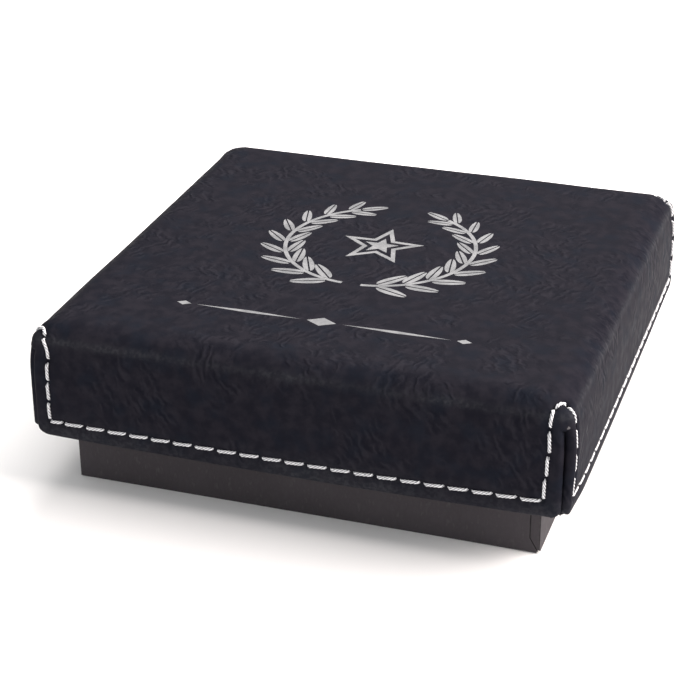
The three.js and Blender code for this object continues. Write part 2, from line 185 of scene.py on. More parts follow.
def drawn_out(mesh: BMesh, faces: Sequence[BMFace], move: Vector, keep: bool = True) -> list[BMVert]:
    """Extrude faces and move their copies.

    Args:
        mesh: Mesh of the faces.
        faces: The faces.
        move: How far the copies move.
        keep: Whether the faces stay as the far side of a solid.

    Returns:
        The moved vertices.
    """
    grown = bmesh.ops.extrude_face_region(mesh, geom=list(faces), use_keep_orig=keep)["geom"]
    moved = [item for item in grown if isinstance(item, BMVert)]
    bmesh.ops.translate(mesh, vec=move, verts=moved)
    return moved


def soften(mesh: BMesh, width: float, segments: int) -> None:
    """Round the sharp edges of a closed mesh.

    Args:
        mesh: The mesh to change.
        width: Bevel width.
        segments: Faces across the bevel.
    """
    sharp = [edge for edge in mesh.edges if edge.is_manifold and edge.calc_face_angle() > SHARP_ANGLE]
    bmesh.ops.bevel(
        mesh,
        geom=sharp,
        offset=width,
        segments=segments,
        profile=0.5,
        affect="EDGES",
        material=-1,
        clamp_overlap=True,
    )


def finished(mesh: BMesh, name: str, material: bpy.types.Material, smooth: bool = True) -> bpy.types.Object:
    """Turn a bmesh into an object at the origin.

    Args:
        mesh: The mesh, which is freed.
        name: The piece's name.
        material: Its finish.
        smooth: Whether its faces shade smoothly.

    Returns:
        The new object.
    """
    data = bpy.data.meshes.new(name)
    for face in mesh.faces:
        face.smooth = smooth
    mesh.to_mesh(data)
    mesh.free()
    data.materials.append(material)
    piece = bpy.data.objects.new(name, data)
    bpy.context.scene.collection.objects.link(piece)
    return piece


def install(piece: bpy.types.Object, body: Body, slot: Slot | None, *replaced: str) -> None:
    """Put a finished piece on its body.

    Args:
        piece: The finished piece.
        body: The body that it moves with.
        slot: Not used.
        replaced: CAD nodes that it stands for.
    """
    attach(piece, body.value)
    if replaced:
        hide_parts(*replaced)
    log.info("%s on %s: %d faces", piece.name, body.value, len(piece.data.polygons))


def merged_copy(node: str) -> BMesh:
    """Return a copy of a CAD node's mesh with its loose triangles joined.

    Args:
        node: The node's name.

    Returns:
        The copy.
    """
    mesh = bmesh.new()
    mesh.from_mesh(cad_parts[node].data)
    bmesh.ops.remove_doubles(mesh, verts=mesh.verts, dist=MERGE_DISTANCE)
    bmesh.ops.dissolve_limit(mesh, angle_limit=FLAT_ANGLE, verts=mesh.verts, edges=mesh.edges)
    point_outward(mesh)
    return mesh


def point_tree(points: Sequence[Vector]) -> KDTree:
    """Return a tree that finds the nearest of some points.

    Args:
        points: The points.

    Returns:
        The tree.
    """
    tree = KDTree(len(points))
    for index, point in enumerate(points):
        tree.insert(point, index)
    tree.balance()
    return tree


# Materials


class NodeGraph:
    """A material's node tree, with a Principled shader at its end."""

    def __init__(self, name: str) -> None:
        """Start an empty material."""
        self.material = bpy.data.materials.new(name)
        self.material.use_nodes = True
        self.tree = self.material.node_tree
        self.tree.nodes.clear()
        self.shader = self.add("BsdfPrincipled", {})
        self.add("OutputMaterial", {"Surface": self.shader.outputs["BSDF"]})
        self.place = self.add("TexCoord", {}).outputs["Object"]

    def feed(self, target: Socket, source: Source) -> None:
        """Link a socket to the target, or set the target's own value.

        Args:
            target: The socket that is fed.
            source: Another socket, a number, a colour or a vector.
        """
        if isinstance(source, bpy.types.NodeSocket):
            self.tree.links.new(source, target)
        elif isinstance(source, tuple) and target.type == "RGBA":
            target.default_value = (*source, 1.0)
        else:
            target.default_value = source

    def add(self, kind: str, feeds: dict[str | int, Source], **options: str) -> bpy.types.Node:
        """Add a node.

        Args:
            kind: Its type, without the prefix that all types share.
            feeds: What goes into its sockets, by name or by place.
            options: Its own settings.

        Returns:
            The node.
        """
        node = self.tree.nodes.new("ShaderNode" + kind)
        for name, option in options.items():
            setattr(node, name, option)
        for socket, source in feeds.items():
            self.feed(node.inputs[socket], source)
        return node

    def finish(self, **inputs: Source) -> None:
        """Feed the shader's sockets by name, with an underscore for each space."""
        for name, source in inputs.items():
            self.feed(self.shader.inputs[name.replace("_", " ")], source)

    def stretched(self, scale: Colour, turn: Colour = (0.0, 0.0, 0.0)) -> Socket:
        """Return the piece's own coordinates, turned about each axis and scaled along it."""
        return self.add("Mapping", {"Vector": self.place, "Rotation": turn, "Scale": scale}).outputs["Vector"]

    def clouds(self, scale: float, fine: float = 3.0, vector: Given = None, bend: float = 0.0) -> Socket:
        """Return soft noise from 0 to 1, with lumps per metre, octaves, coordinates and a bend of its own."""
        feeds = {"Vector": vector or self.place, "Scale": scale, "Detail": fine, "Distortion": bend}
        return self.add("TexNoise", feeds).outputs["Fac"]

    def cells(self, scale: float, soft: bool = False, vector: Given = None) -> Socket:
        """Return the distance across cells, with this many per metre."""
        feeds = {"Vector": vector or self.place, "Scale": scale}
        return self.add("TexVoronoi", feeds, feature="SMOOTH_F1" if soft else "F1").outputs["Distance"]

    def span(self, value: Feed, low: float, high: float, first: float = 0.0, last: float = 1.0) -> Socket:
        """Ease a value's range from low to high onto the range from first to last."""
        feeds = {"Value": value, "From Min": low, "From Max": high, "To Min": first, "To Max": last}
        return self.add("MapRange", feeds, interpolation_type="SMOOTHSTEP").outputs["Result"]

    def reckon(self, kind: Sum, first: Feed, second: Feed = 0.0) -> Socket:
        """Work out one value from two."""
        return self.add("Math", {0: first, 1: second}, operation=kind.value).outputs[0]

    def strokes(self, vector: Socket, scale: float, waviness: float) -> Socket:
        """Return wavy strokes across a vector's first axis, with this many in a third of a metre."""
        fine = {"Distortion": waviness, "Detail": 2.0, "Detail Scale": 1.4, "Detail Roughness": 0.55}
        return self.add("TexWave", {"Vector": vector, "Scale": scale} | fine).outputs["Fac"]

    def blended(self, share: Feed, first: Feed, second: Feed) -> Socket:
        """Return a value between two, at a share of the way to the second."""
        return self.add("Mix", {0: share, 2: first, 3: second}).outputs[0]

    def mixed(self, share: Feed, first: Socket | Colour, second: Socket | Colour) -> Socket:
        """Return a colour between two, at a share of the way to the second."""
        return self.add("Mix", {0: share, 6: first, 7: second}, data_type="RGBA").outputs[2]

    def bump(self, height: Socket, depth: float, share: float = 1.0, below: Given = None) -> Socket:
        """Return the normal of a height, with its depth, the share that shows and the normal below it."""
        lower = {"Normal": below} if below else {}
        return self.add("Bump", {"Strength": share, "Distance": depth, "Height": height} | lower).outputs[0]

    def painted(self, name: str) -> Socket:
        """Return the value that a piece's points carry under that name."""
        return self.add("Attribute", {}, attribute_name=name).outputs["Fac"]

    def axis(self, index: int) -> Socket:
        """Return one of the piece's own coordinates."""
        return self.add("SeparateXYZ", {"Vector": self.place}).outputs[index]

    def nearness(self, point: Vector, reach: float) -> Socket:
        """Return 1 at a point of the piece, easing to 0 at a reach from it."""
        distance = self.add("VectorMath", {0: self.place, 1: point}, operation="DISTANCE")
        return self.span(distance.outputs["Value"], 0.0, reach, 1.0, 0.0)


@dataclass(frozen=True)
class Leatherette:
    """Black-navy leatherette with patches of short wavy creases, their troughs in painted shade and their
    crests in painted highlight; paler along the lid's fold with wear and a painted highlight.
    """

    dark: Colour = (0.0086, 0.0086, 0.0124)
    light: Colour = (0.0142, 0.0134, 0.0178)
    blue: Colour = (0.0076, 0.0100, 0.0155)
    crease_trough_shade: Colour = (0.0056, 0.0058, 0.0092)
    crest: Colour = (0.0215, 0.0208, 0.0265)
    wear_and_highlight_tone: Colour = (0.033, 0.034, 0.039)
    hole_shade: Colour = (0.0010, 0.0010, 0.0012)
    backing: Colour = (0.10, 0.097, 0.10)
    patch_scale: float = 110.0
    side_scale: float = 77.0
    crease_scale: float = 250.0
    crease_wave: float = 8.0
    break_scale: float = 520.0
    pebble_scale: float = 2600.0
    mottle_scale: float = 420.0
    blue_scale: float = 190.0
    fleck_scale: float = 1500.0
    stretch_scale: float = 75.0
    fray_scale: float = 1900.0
    crease_depth: float = 0.17 * MM
    pebble_depth: float = 0.02 * MM

    def material(self) -> bpy.types.Material:
        """Build the finish.

        Returns:
            The material.
        """
        graph = NodeGraph("leatherette")
        falling = graph.stretched((1.0, 0.7, 0.8), (0.5, 0.3, 0.75))
        rising = graph.stretched((0.8, 1.0, 0.7), (-0.6, 0.4, -0.6))
        patches = graph.span(graph.clouds(self.patch_scale), 0.41, 0.61)
        side = graph.span(graph.clouds(self.side_scale, 2.0), 0.47, 0.56)
        first = graph.strokes(falling, self.crease_scale, self.crease_wave)
        second = graph.strokes(rising, self.crease_scale, self.crease_wave)
        breaks = graph.reckon(Sum.TIMES, patches, graph.span(graph.clouds(self.break_scale), 0.36, 0.60))
        height = graph.blended(breaks, 0.5, graph.blended(side, first, second))
        pebble = graph.cells(self.pebble_scale, soft=True)
        mottle = graph.clouds(self.mottle_scale, 5.0)
        tone = graph.mixed(graph.span(mottle, 0.35, 0.68), self.dark, self.light)
        blue = graph.span(graph.clouds(self.blue_scale, 4.0), 0.46, 0.72, 0.0, 0.6)
        tone = graph.mixed(blue, tone, self.blue)
        # Crease troughs are painted darker as shade and crests paler as highlight, following the creases'
        # height.
        tone = graph.mixed(graph.span(height, 0.05, 0.5, 0.44, 0.0), tone, self.crease_trough_shade)
        tone = graph.mixed(graph.span(height, 0.5, 0.95, 0.0, 0.34), tone, self.crest)
        fleck_mask = graph.span(graph.clouds(self.fleck_scale, 5.0), 0.40, 0.66, 0.35, 1.0)
        stretches = graph.span(graph.clouds(self.stretch_scale, 2.0), 0.42, 0.62, 0.45, 0.9)
        # Paler marks, broken into flecks: wear with a painted highlight along the fold, a painted highlight
        # along the rim, and a paler hem.
        rub_and_sheen = graph.reckon(Sum.TIMES, graph.painted("wear_and_sheen"), graph.reckon(Sum.TIMES, fleck_mask, stretches))
        tone = graph.mixed(rub_and_sheen, tone, self.wear_and_highlight_tone)
        # Needle holes are painted near black as shade.
        tone = graph.mixed(graph.span(graph.painted("pit"), 0.15, 0.6), tone, self.hole_shade)
        fray = graph.reckon(Sum.TIMES, graph.painted("raw"), graph.clouds(self.fray_scale, 2.0))
        tone = graph.mixed(graph.span(fray, 0.33, 0.45), tone, self.backing)
        below = graph.bump(height, self.crease_depth, 0.7)
        normal = graph.bump(pebble, self.pebble_depth, 0.6, below)
        graph.finish(
            Base_Color=tone,
            Roughness=graph.span(mottle, 0.3, 0.7, 0.44, 0.60),
            Specular_IOR_Level=0.006,
            Specular_Tint=(0.97, 0.88, 1.0),
            Normal=normal,
        )
        return graph.material


@dataclass(frozen=True)
class TwistedThread:
    """Off-white polyester thread, with painted shade between its plies."""

    crest: Colour = (0.75, 0.755, 0.775)
    ply_gap_shade: Colour = (0.145, 0.148, 0.165)
    fibre_scale: float = 3600.0
    fibre_depth: float = 0.03 * MM

    def material(self) -> bpy.types.Material:
        """Build the finish.

        Returns:
            The material.
        """
        graph = NodeGraph("twisted_thread")
        ply = graph.painted("ply")
        fibres = graph.clouds(self.fibre_scale, 4.0)
        # Painted shade between the plies; the darker fibre speckle takes the same colour.
        tone = graph.mixed(graph.span(ply, 0.05, 0.9), self.ply_gap_shade, self.crest)
        tone = graph.mixed(graph.span(fibres, 0.46, 0.68, 0.0, 0.45), tone, self.ply_gap_shade)
        graph.finish(
            Base_Color=tone,
            Roughness=graph.span(fibres, 0.3, 0.7, 0.55, 0.75),
            Specular_IOR_Level=0.35,
            Sheen_Weight=0.3,
            Sheen_Roughness=0.4,
            Normal=graph.bump(fibres, self.fibre_depth, 0.5),
        )
        return graph.material


@dataclass(frozen=True)
class WrapPaper:
    """Dark warm grey matt paper, with pale wear at its folds."""

    half: float
    dark: Colour = (0.0275, 0.0234, 0.0272)
    light: Colour = (0.0345, 0.0297, 0.0342)
    wear_and_sheen: Colour = (0.10, 0.095, 0.095)
    bare: Colour = (0.75, 0.74, 0.72)
    shade: Colour = (0.0035, 0.0030, 0.0032)
    fibre_scale: float = 1500.0
    fibre_depth: float = 0.02 * MM
    cloud_scale: float = 60.0
    rub_scale: float = 700.0
    flake_scale: float = 1800.0
    fold_reach: tuple[float, float] = (0.45 * MM, 0.05 * MM)
    foot_reach: tuple[float, float] = (0.05 * MM, 0.4 * MM)
    chip_height: float = 0.2 * MM
    chip_reach: float = 0.9 * MM

    def material(self) -> bpy.types.Material:
        """Build the finish.

        Returns:
            The material.
        """
        graph = NodeGraph("wrap_paper")
        fibres = graph.clouds(self.fibre_scale, 5.0, graph.stretched((1.0, 1.0, 0.45)))
        clouds = graph.clouds(self.cloud_scale)
        tone = graph.mixed(graph.span(clouds, 0.35, 0.65), self.dark, self.light)
        # On the paper the pale tone and the rub mask below show wear only, no painted light.
        tone = graph.mixed(graph.span(fibres, 0.52, 0.8, 0.0, 0.25), tone, self.wear_and_sheen)
        across = graph.reckon(Sum.SIZE, graph.axis(0))
        deep = graph.reckon(Sum.SIZE, graph.axis(1))
        far, near = self.fold_reach
        fold = graph.span(graph.reckon(Sum.LOWER, across, deep), self.half - far, self.half - near)
        foot = graph.span(graph.axis(2), *self.foot_reach, 1.0, 0.0)
        edge = graph.reckon(Sum.HIGHER, fold, foot)
        rub_and_sheen = graph.span(graph.clouds(self.rub_scale, 4.0), 0.40, 0.75, 0.05, 0.7)
        tone = graph.mixed(graph.reckon(Sum.TIMES, edge, rub_and_sheen), tone, self.wear_and_sheen)
        chip = graph.nearness(Vector((self.half, -self.half, self.chip_height)), self.chip_reach)
        flaked = graph.reckon(Sum.TIMES, chip, graph.clouds(self.flake_scale))
        tone = graph.mixed(graph.span(flaked, 0.16, 0.26), tone, self.bare)
        tone = graph.mixed(graph.painted("gap"), tone, self.shade)
        graph.finish(
            Base_Color=tone,
            Roughness=graph.span(fibres, 0.3, 0.7, 0.70, 0.86),
            Specular_IOR_Level=0.3,
            Normal=graph.bump(fibres, self.fibre_depth, 0.5),
        )
        return graph.material


@dataclass(frozen=True)
class PlainSheet:
    """A board, paper or foam with specks, fibres and a grain of its own."""

    name: str
    dark: Colour
    light: Colour
    speck: Colour
    grain_scale: float
    stretch: Colour = (1.0, 1.0, 1.0)
    cloud_share: float = 14
    speck_share: float = 2.2
    roughness: float = 0.85
    depth: float = 0.04 * MM

    def material(self) -> bpy.types.Material:
        """Build the finish.

        Returns:
            The material.
        """
        graph = NodeGraph(self.name)
        vector = graph.stretched(self.stretch)
        grain = graph.clouds(self.grain_scale, 5.0, vector)
        clouds = graph.clouds(self.grain_scale / self.cloud_share, 2.0)
        specks = graph.cells(self.grain_scale / self.speck_share, vector=vector)
        tone = graph.mixed(graph.span(clouds, 0.3, 0.7), self.dark, self.light)
        tone = graph.mixed(graph.span(grain, 0.45, 0.75, 0.0, 0.4), tone, self.light)
        tone = graph.mixed(graph.span(specks, 0.08, 0.2, 0.5, 0.0), tone, self.speck)
        graph.finish(
            Base_Color=tone,
            Roughness=graph.span(grain, 0.3, 0.7, self.roughness - 0.06, self.roughness + 0.08),
            Specular_IOR_Level=0.25,
            Normal=graph.bump(grain, self.depth, 0.6),
        )
        return graph.material


@dataclass(frozen=True)
class OpenFoam:
    """Dark open-cell foam, its pores painted darker as shade."""

    wall: Colour = (0.035, 0.035, 0.040)
    pore_shade: Colour = (0.004, 0.004, 0.005)
    cell_scale: float = 2200.0
    cell_depth: float = 0.12 * MM
    cloud_scale: float = 180.0

    def material(self) -> bpy.types.Material:
        """Build the finish.

        Returns:
            The material.
        """
        graph = NodeGraph("open_foam")
        cells = graph.cells(self.cell_scale)
        depth = graph.span(cells, 0.15, 0.6)
        # Pores are painted darker as shade.
        tone = graph.mixed(depth, self.wall, self.pore_shade)
        tone = graph.mixed(graph.span(graph.clouds(self.cloud_scale), 0.4, 0.7, 0.0, 0.3), tone, self.wall)
        hollow = graph.reckon(Sum.LESS, 1.0, depth)
        graph.finish(
            Base_Color=tone,
            Roughness=graph.span(cells, 0.0, 0.8, 0.88, 0.98),
            Specular_IOR_Level=0.2,
            Normal=graph.bump(hollow, self.cell_depth, 0.8),
        )
        return graph.material


@dataclass(frozen=True)
class FlockedVelvet:
    """Black velvet of short pile, brushed in soft patches."""

    deep: Colour = (0.006, 0.006, 0.008)
    brushed: Colour = (0.015, 0.015, 0.018)
    tip: Colour = (0.30, 0.30, 0.33)
    stroke_scale: float = 70.0
    stroke_bend: float = 0.8
    pile_scale: float = 3800.0
    pile_depth: float = 0.12 * MM

    def material(self) -> bpy.types.Material:
        """Build the finish.

        Returns:
            The material.
        """
        graph = NodeGraph("flocked_velvet")
        brushing = graph.stretched((1.0, 0.5, 1.0), (0.0, 0.0, 0.6))
        strokes = graph.clouds(self.stroke_scale, vector=brushing, bend=self.stroke_bend)
        pile = graph.clouds(self.pile_scale)
        tone = graph.mixed(graph.span(strokes, 0.42, 0.62), self.deep, self.brushed)
        tone = graph.mixed(graph.span(pile, 0.50, 0.72, 0.0, 0.6), tone, self.brushed)
        graph.finish(
            Base_Color=tone,
            Roughness=graph.span(strokes, 0.3, 0.7, 0.85, 0.98),
            Specular_IOR_Level=0.1,
            Sheen_Weight=graph.span(pile, 0.35, 0.65, 0.35, 1.0),
            Sheen_Roughness=0.45,
            Sheen_Tint=self.tip,
            Normal=graph.bump(pile, self.pile_depth, 0.7),
        )
        return graph.material


@dataclass(frozen=True)
class SilverFoil:
    """Hot-stamped silver foil, slightly mottled by the grain under it."""

    bright: Colour = (0.196, 0.200, 0.208)
    dull: Colour = (0.132, 0.136, 0.143)
    grain_scale: float = 1500.0
    grain_depth: float = 0.03 * MM
    cloud_scale: float = 260.0

    def material(self) -> bpy.types.Material:
        """Build the finish.

        Returns:
            The material.
        """
        graph = NodeGraph("silver_foil")
        grain = graph.clouds(self.grain_scale, 4.0)
        clouds = graph.clouds(self.cloud_scale)
        tone = graph.mixed(graph.span(clouds, 0.35, 0.65), self.dull, self.bright)
        tone = graph.mixed(graph.span(grain, 0.55, 0.75, 0.0, 0.4), tone, self.dull)
        graph.finish(
            Base_Color=tone,
            Metallic=0.12,
            Specular_IOR_Level=0.2,
            Roughness=graph.span(grain, 0.3, 0.7, 0.50, 0.66),
            Normal=graph.bump(grain, self.grain_depth, 0.5),
        )
        return graph.material


@dataclass(frozen=True)
class PaleFloor:
    """The studio's plain pale floor."""

    tone: Colour = (0.86, 0.86, 0.86)
    shade: Colour = (0.84, 0.84, 0.845)
    cloud_scale: float = 3.0

    def material(self) -> bpy.types.Material:
        """Build the finish.

        Returns:
            The material.
        """
        graph = NodeGraph("pale_floor")
        clouds = graph.clouds(self.cloud_scale, 2.0)
        graph.finish(
            Base_Color=graph.mixed(graph.span(clouds, 0.3, 0.7), self.tone, self.shade),
            Roughness=0.9,
            Specular_IOR_Level=0.1,
        )
        return graph.material


WADDING = PlainSheet(
    "wadding", (0.55, 0.53, 0.49), (0.66, 0.64, 0.60), (0.40, 0.38, 0.35), 900.0, roughness=0.9
)
GREY_BOARD = PlainSheet(
    "grey_board", (0.20, 0.185, 0.165), (0.29, 0.27, 0.24), (0.10, 0.09, 0.08), 1100.0
)
STAY_PAPER = PlainSheet(
    "stay_paper", (0.36, 0.28, 0.17), (0.47, 0.38, 0.25), (0.26, 0.19, 0.11), 1300.0, (1.0, 1.0, 0.35)
)
LINING_PAPER = PlainSheet(
    "lining_paper", (0.010, 0.009, 0.011), (0.017, 0.016, 0.019), (0.04, 0.04, 0.04), 1500.0
)


# The lid's cover


@dataclass(frozen=True)
class CoverLevel:
    """One level of the cover: its half width, corner radius, height over the rim and tilt upwards."""

    half: float
    corner: float
    height: float
    tilt: float = 0.0

    def out(self, flat: Vector) -> Vector:
        """Return the direction out of the cover where the level's outline faces this way."""
        return flat * math.cos(self.tilt) + Vector((0.0, 0.0, math.sin(self.tilt)))


@dataclass(frozen=True)
class Bend:
    """One arc of the rounded edge: its radius, and its tilt where it starts and ends."""

    radius: float
    start: float
    end: float

    @property
    def length(self) -> float:
        """Length of the arc."""
        return self.radius * (self.end - self.start)

    def inward(self, length: float) -> float:
        """Return how far the arc runs inwards over a part of its length."""
        return self.radius * (math.cos(self.start) - math.cos(self.start + length / self.radius))

    def upward(self, length: float) -> float:
        """Return how far the arc rises over a part of its length."""
        return self.radius * (math.sin(self.start + length / self.radius) - math.sin(self.start))


@dataclass(frozen=True)
class CoverSpot:
    """A place on the cover's ring.

    Along is its length round the lid from a corner's diagonal. Where a slit is open the place moves to the
    slit's edge, which lies across the diagonal and outward from the lid's middle. Lift is the rise of the
    flap's rounded lower corner.
    """

    corner: int
    along: float
    across: float = 0.0
    outward: float = 0.0
    lift: float = 0.0
    in_slit: bool = False


@dataclass
class CoverForm:
    """The outer form of the lid, which the cover and the seam share."""

    half: float
    rim: float
    top: float
    lean: Bend = Bend(31 * MM, 0.0, math.radians(12))
    fold: Bend = Bend(1.5 * MM, math.radians(12), math.radians(40))
    pillow: Bend = Bend(6.2 * MM, math.radians(40), QUARTER_TURN)
    wall_corner: float = 1.9 * MM
    crown_corner: float = 3.4 * MM
    rim_roll: float = 1.2 * MM
    bow: float = 0.55 * MM
    bow_level: float = 0.55
    bow_fade_start: float = 0.3
    tuck_depth: float = 0.5 * MM
    tuck_reach: float = 11 * MM
    hem_thickness: float = 2.1 * MM
    sheet_thickness: float = 1.05 * MM

    @property
    def height(self) -> float:
        """Height of the lid."""
        return self.top - self.rim

    @property
    def crown_start(self) -> float:
        """Height over the rim where the rounded edge starts."""
        return self.height - sum(bend.upward(bend.length) for bend in self.bends)

    @property
    def bends(self) -> tuple[Bend, ...]:
        """The rounded edge's arcs, from the wall to the top."""
        return self.lean, self.fold, self.pillow

    @property
    def crown_length(self) -> float:
        """Length of the rounded edge."""
        return sum(bend.length for bend in self.bends)

    @property
    def fold_height(self) -> float:
        """Height over the rim of the fold's middle."""
        lean_rise = self.lean.upward(self.lean.length)
        return self.crown_start + lean_rise + self.fold.upward(self.fold.length / 2)

    @property
    def arc_half(self) -> float:
        """Half the length of a wall corner's arc."""
        return self.wall_corner * EIGHTH_TURN

    def along(self, inset: float) -> float:
        """Return the length round the lid from a corner's diagonal to an inset from the flap's end."""
        return inset - self.wall_corner + self.arc_half

    def crown(self, length: float, depth: float = 0.0) -> CoverLevel:
        """Return a level of the rounded edge.

        Args:
            length: Length up the leather from the edge's start.
            depth: Depth under the outside.

        Returns:
            The level.
        """
        inward, upward, tilt = 0.0, self.crown_start, 0.0
        left = length
        for bend in self.bends:
            part = min(left, bend.length)
            inward += bend.inward(part)
            upward += bend.upward(part)
            tilt = bend.start + part / bend.radius
            left -= part
            if left <= 0:
                break
        corner = self.wall_corner + (self.crown_corner - self.wall_corner) * math.sin(tilt)
        half = self.half - inward - depth * math.cos(tilt)
        return CoverLevel(half, max(0.0, corner - depth), upward - depth * math.sin(tilt), tilt)

    def outline(self, level: CoverLevel, along: float, scaled: bool) -> tuple[Vector, Vector]:
        """Return a point and the outward direction on a level, near the front right corner.

        Args:
            level: The level.
            along: Length round the corner from its diagonal, negative on the front.
            scaled: Whether the straight part is shrunk with the level.

        Returns:
            The point and its outward direction.
        """
        bend = min(1.0, max(-1.0, along / self.arc_half)) * EIGHTH_TURN - EIGHTH_TURN
        outward = Vector((math.cos(bend), math.sin(bend), 0.0))
        straight = math.copysign(max(0.0, abs(along) - self.arc_half), along)
        if scaled:
            straight *= (level.half - level.corner) / (self.half - self.wall_corner)
        middle = Vector((level.half - level.corner, level.corner - level.half, self.rim + level.height))
        return middle + outward * level.corner + Vector((-outward.y, outward.x, 0.0)) * straight, outward

    def sag(self, point: Vector) -> float:
        """Return how far a wall's point rises, because a flap hangs lower in its middle than at its ends.

        Args:
            point: The point.

        Returns:
            The rise.
        """
        reach = min(abs(point.x), abs(point.y)) / self.half
        fade = 1 - smooth_share(point.z - self.rim, self.bow_fade_start * self.crown_start, self.crown_start)
        return self.bow * (reach**2 - self.bow_level) * fade

    def tuck(self, corner: int, side: float, point: Vector) -> float:
        """Return how far a point of the right flap leans in, because the flap's front end is pulled under.

        Args:
            corner: Index of the point's corner.
            side: Positive on the flap after the corner.
            point: The point, near the front right corner.

        Returns:
            The distance.
        """
        if corner != Corner.FRONT_RIGHT.value or side <= 0:
            return 0.0
        near = 1 - smooth_share(point.y + self.half, 0.0, self.tuck_reach)
        low = 1 - smooth_share(point.z - self.rim, 0.0, self.crown_start)
        return self.tuck_depth * near * low

    def seam_spot(self, corner: int, inset: float, up: float) -> tuple[Vector, Vector]:
        """Return a seam's point on the leather and the direction out of it.

        Args:
            corner: Index of the corner.
            inset: Distance from the end of a flap, negative on the flap before the corner.
            up: Length up the leather from the rim.

        Returns:
            The point and the direction.
        """
        level = CoverLevel(self.half, self.wall_corner, up)
        if up > self.crown_start:
            level = self.crown(up - self.crown_start)
        across = abs(inset) / DIAGONAL
        if across < level.corner * math.sin(EIGHTH_TURN):
            along = self.arc_half * math.asin(across / level.corner) / EIGHTH_TURN
        else:
            along = self.arc_half + abs(inset) - level.corner
        point, outward = self.outline(level, math.copysign(along, inset), False)
        point.z += self.sag(point)
        point.x -= self.tuck(corner, inset, point)
        turned = quarter_turns(corner)
        return turned @ point, turned @ level.out(outward)


@dataclass
class SeamRun:
    """One run of the seam: its points on the leather, directions out, stitches, and depths at its ends."""

    points: list[Vector]
    normals: list[Vector]
    stitches: int
    first_share: float = 1.0
    pull_start: float = 0.0
    pull_end: float = 0.0


@dataclass(frozen=True)
class FlapSeam:
    """How the seam lies on a flap.

    Its insets are from the flap's start and end, at its row and at the top of its legs. The pulls are how
    deep its first leg and its row's end are drawn in. Its first leg may start low under the arch, and its
    first stitch may be a share of a full one.
    """

    start: float = 4.1 * MM
    start_top: float = 4.1 * MM
    end: float = 4.1 * MM
    end_top: float = 4.1 * MM
    pull: float = 0.0
    row_end_pull: float = 0.0
    start_low: float = 0.0
    first_share: float = 1.0


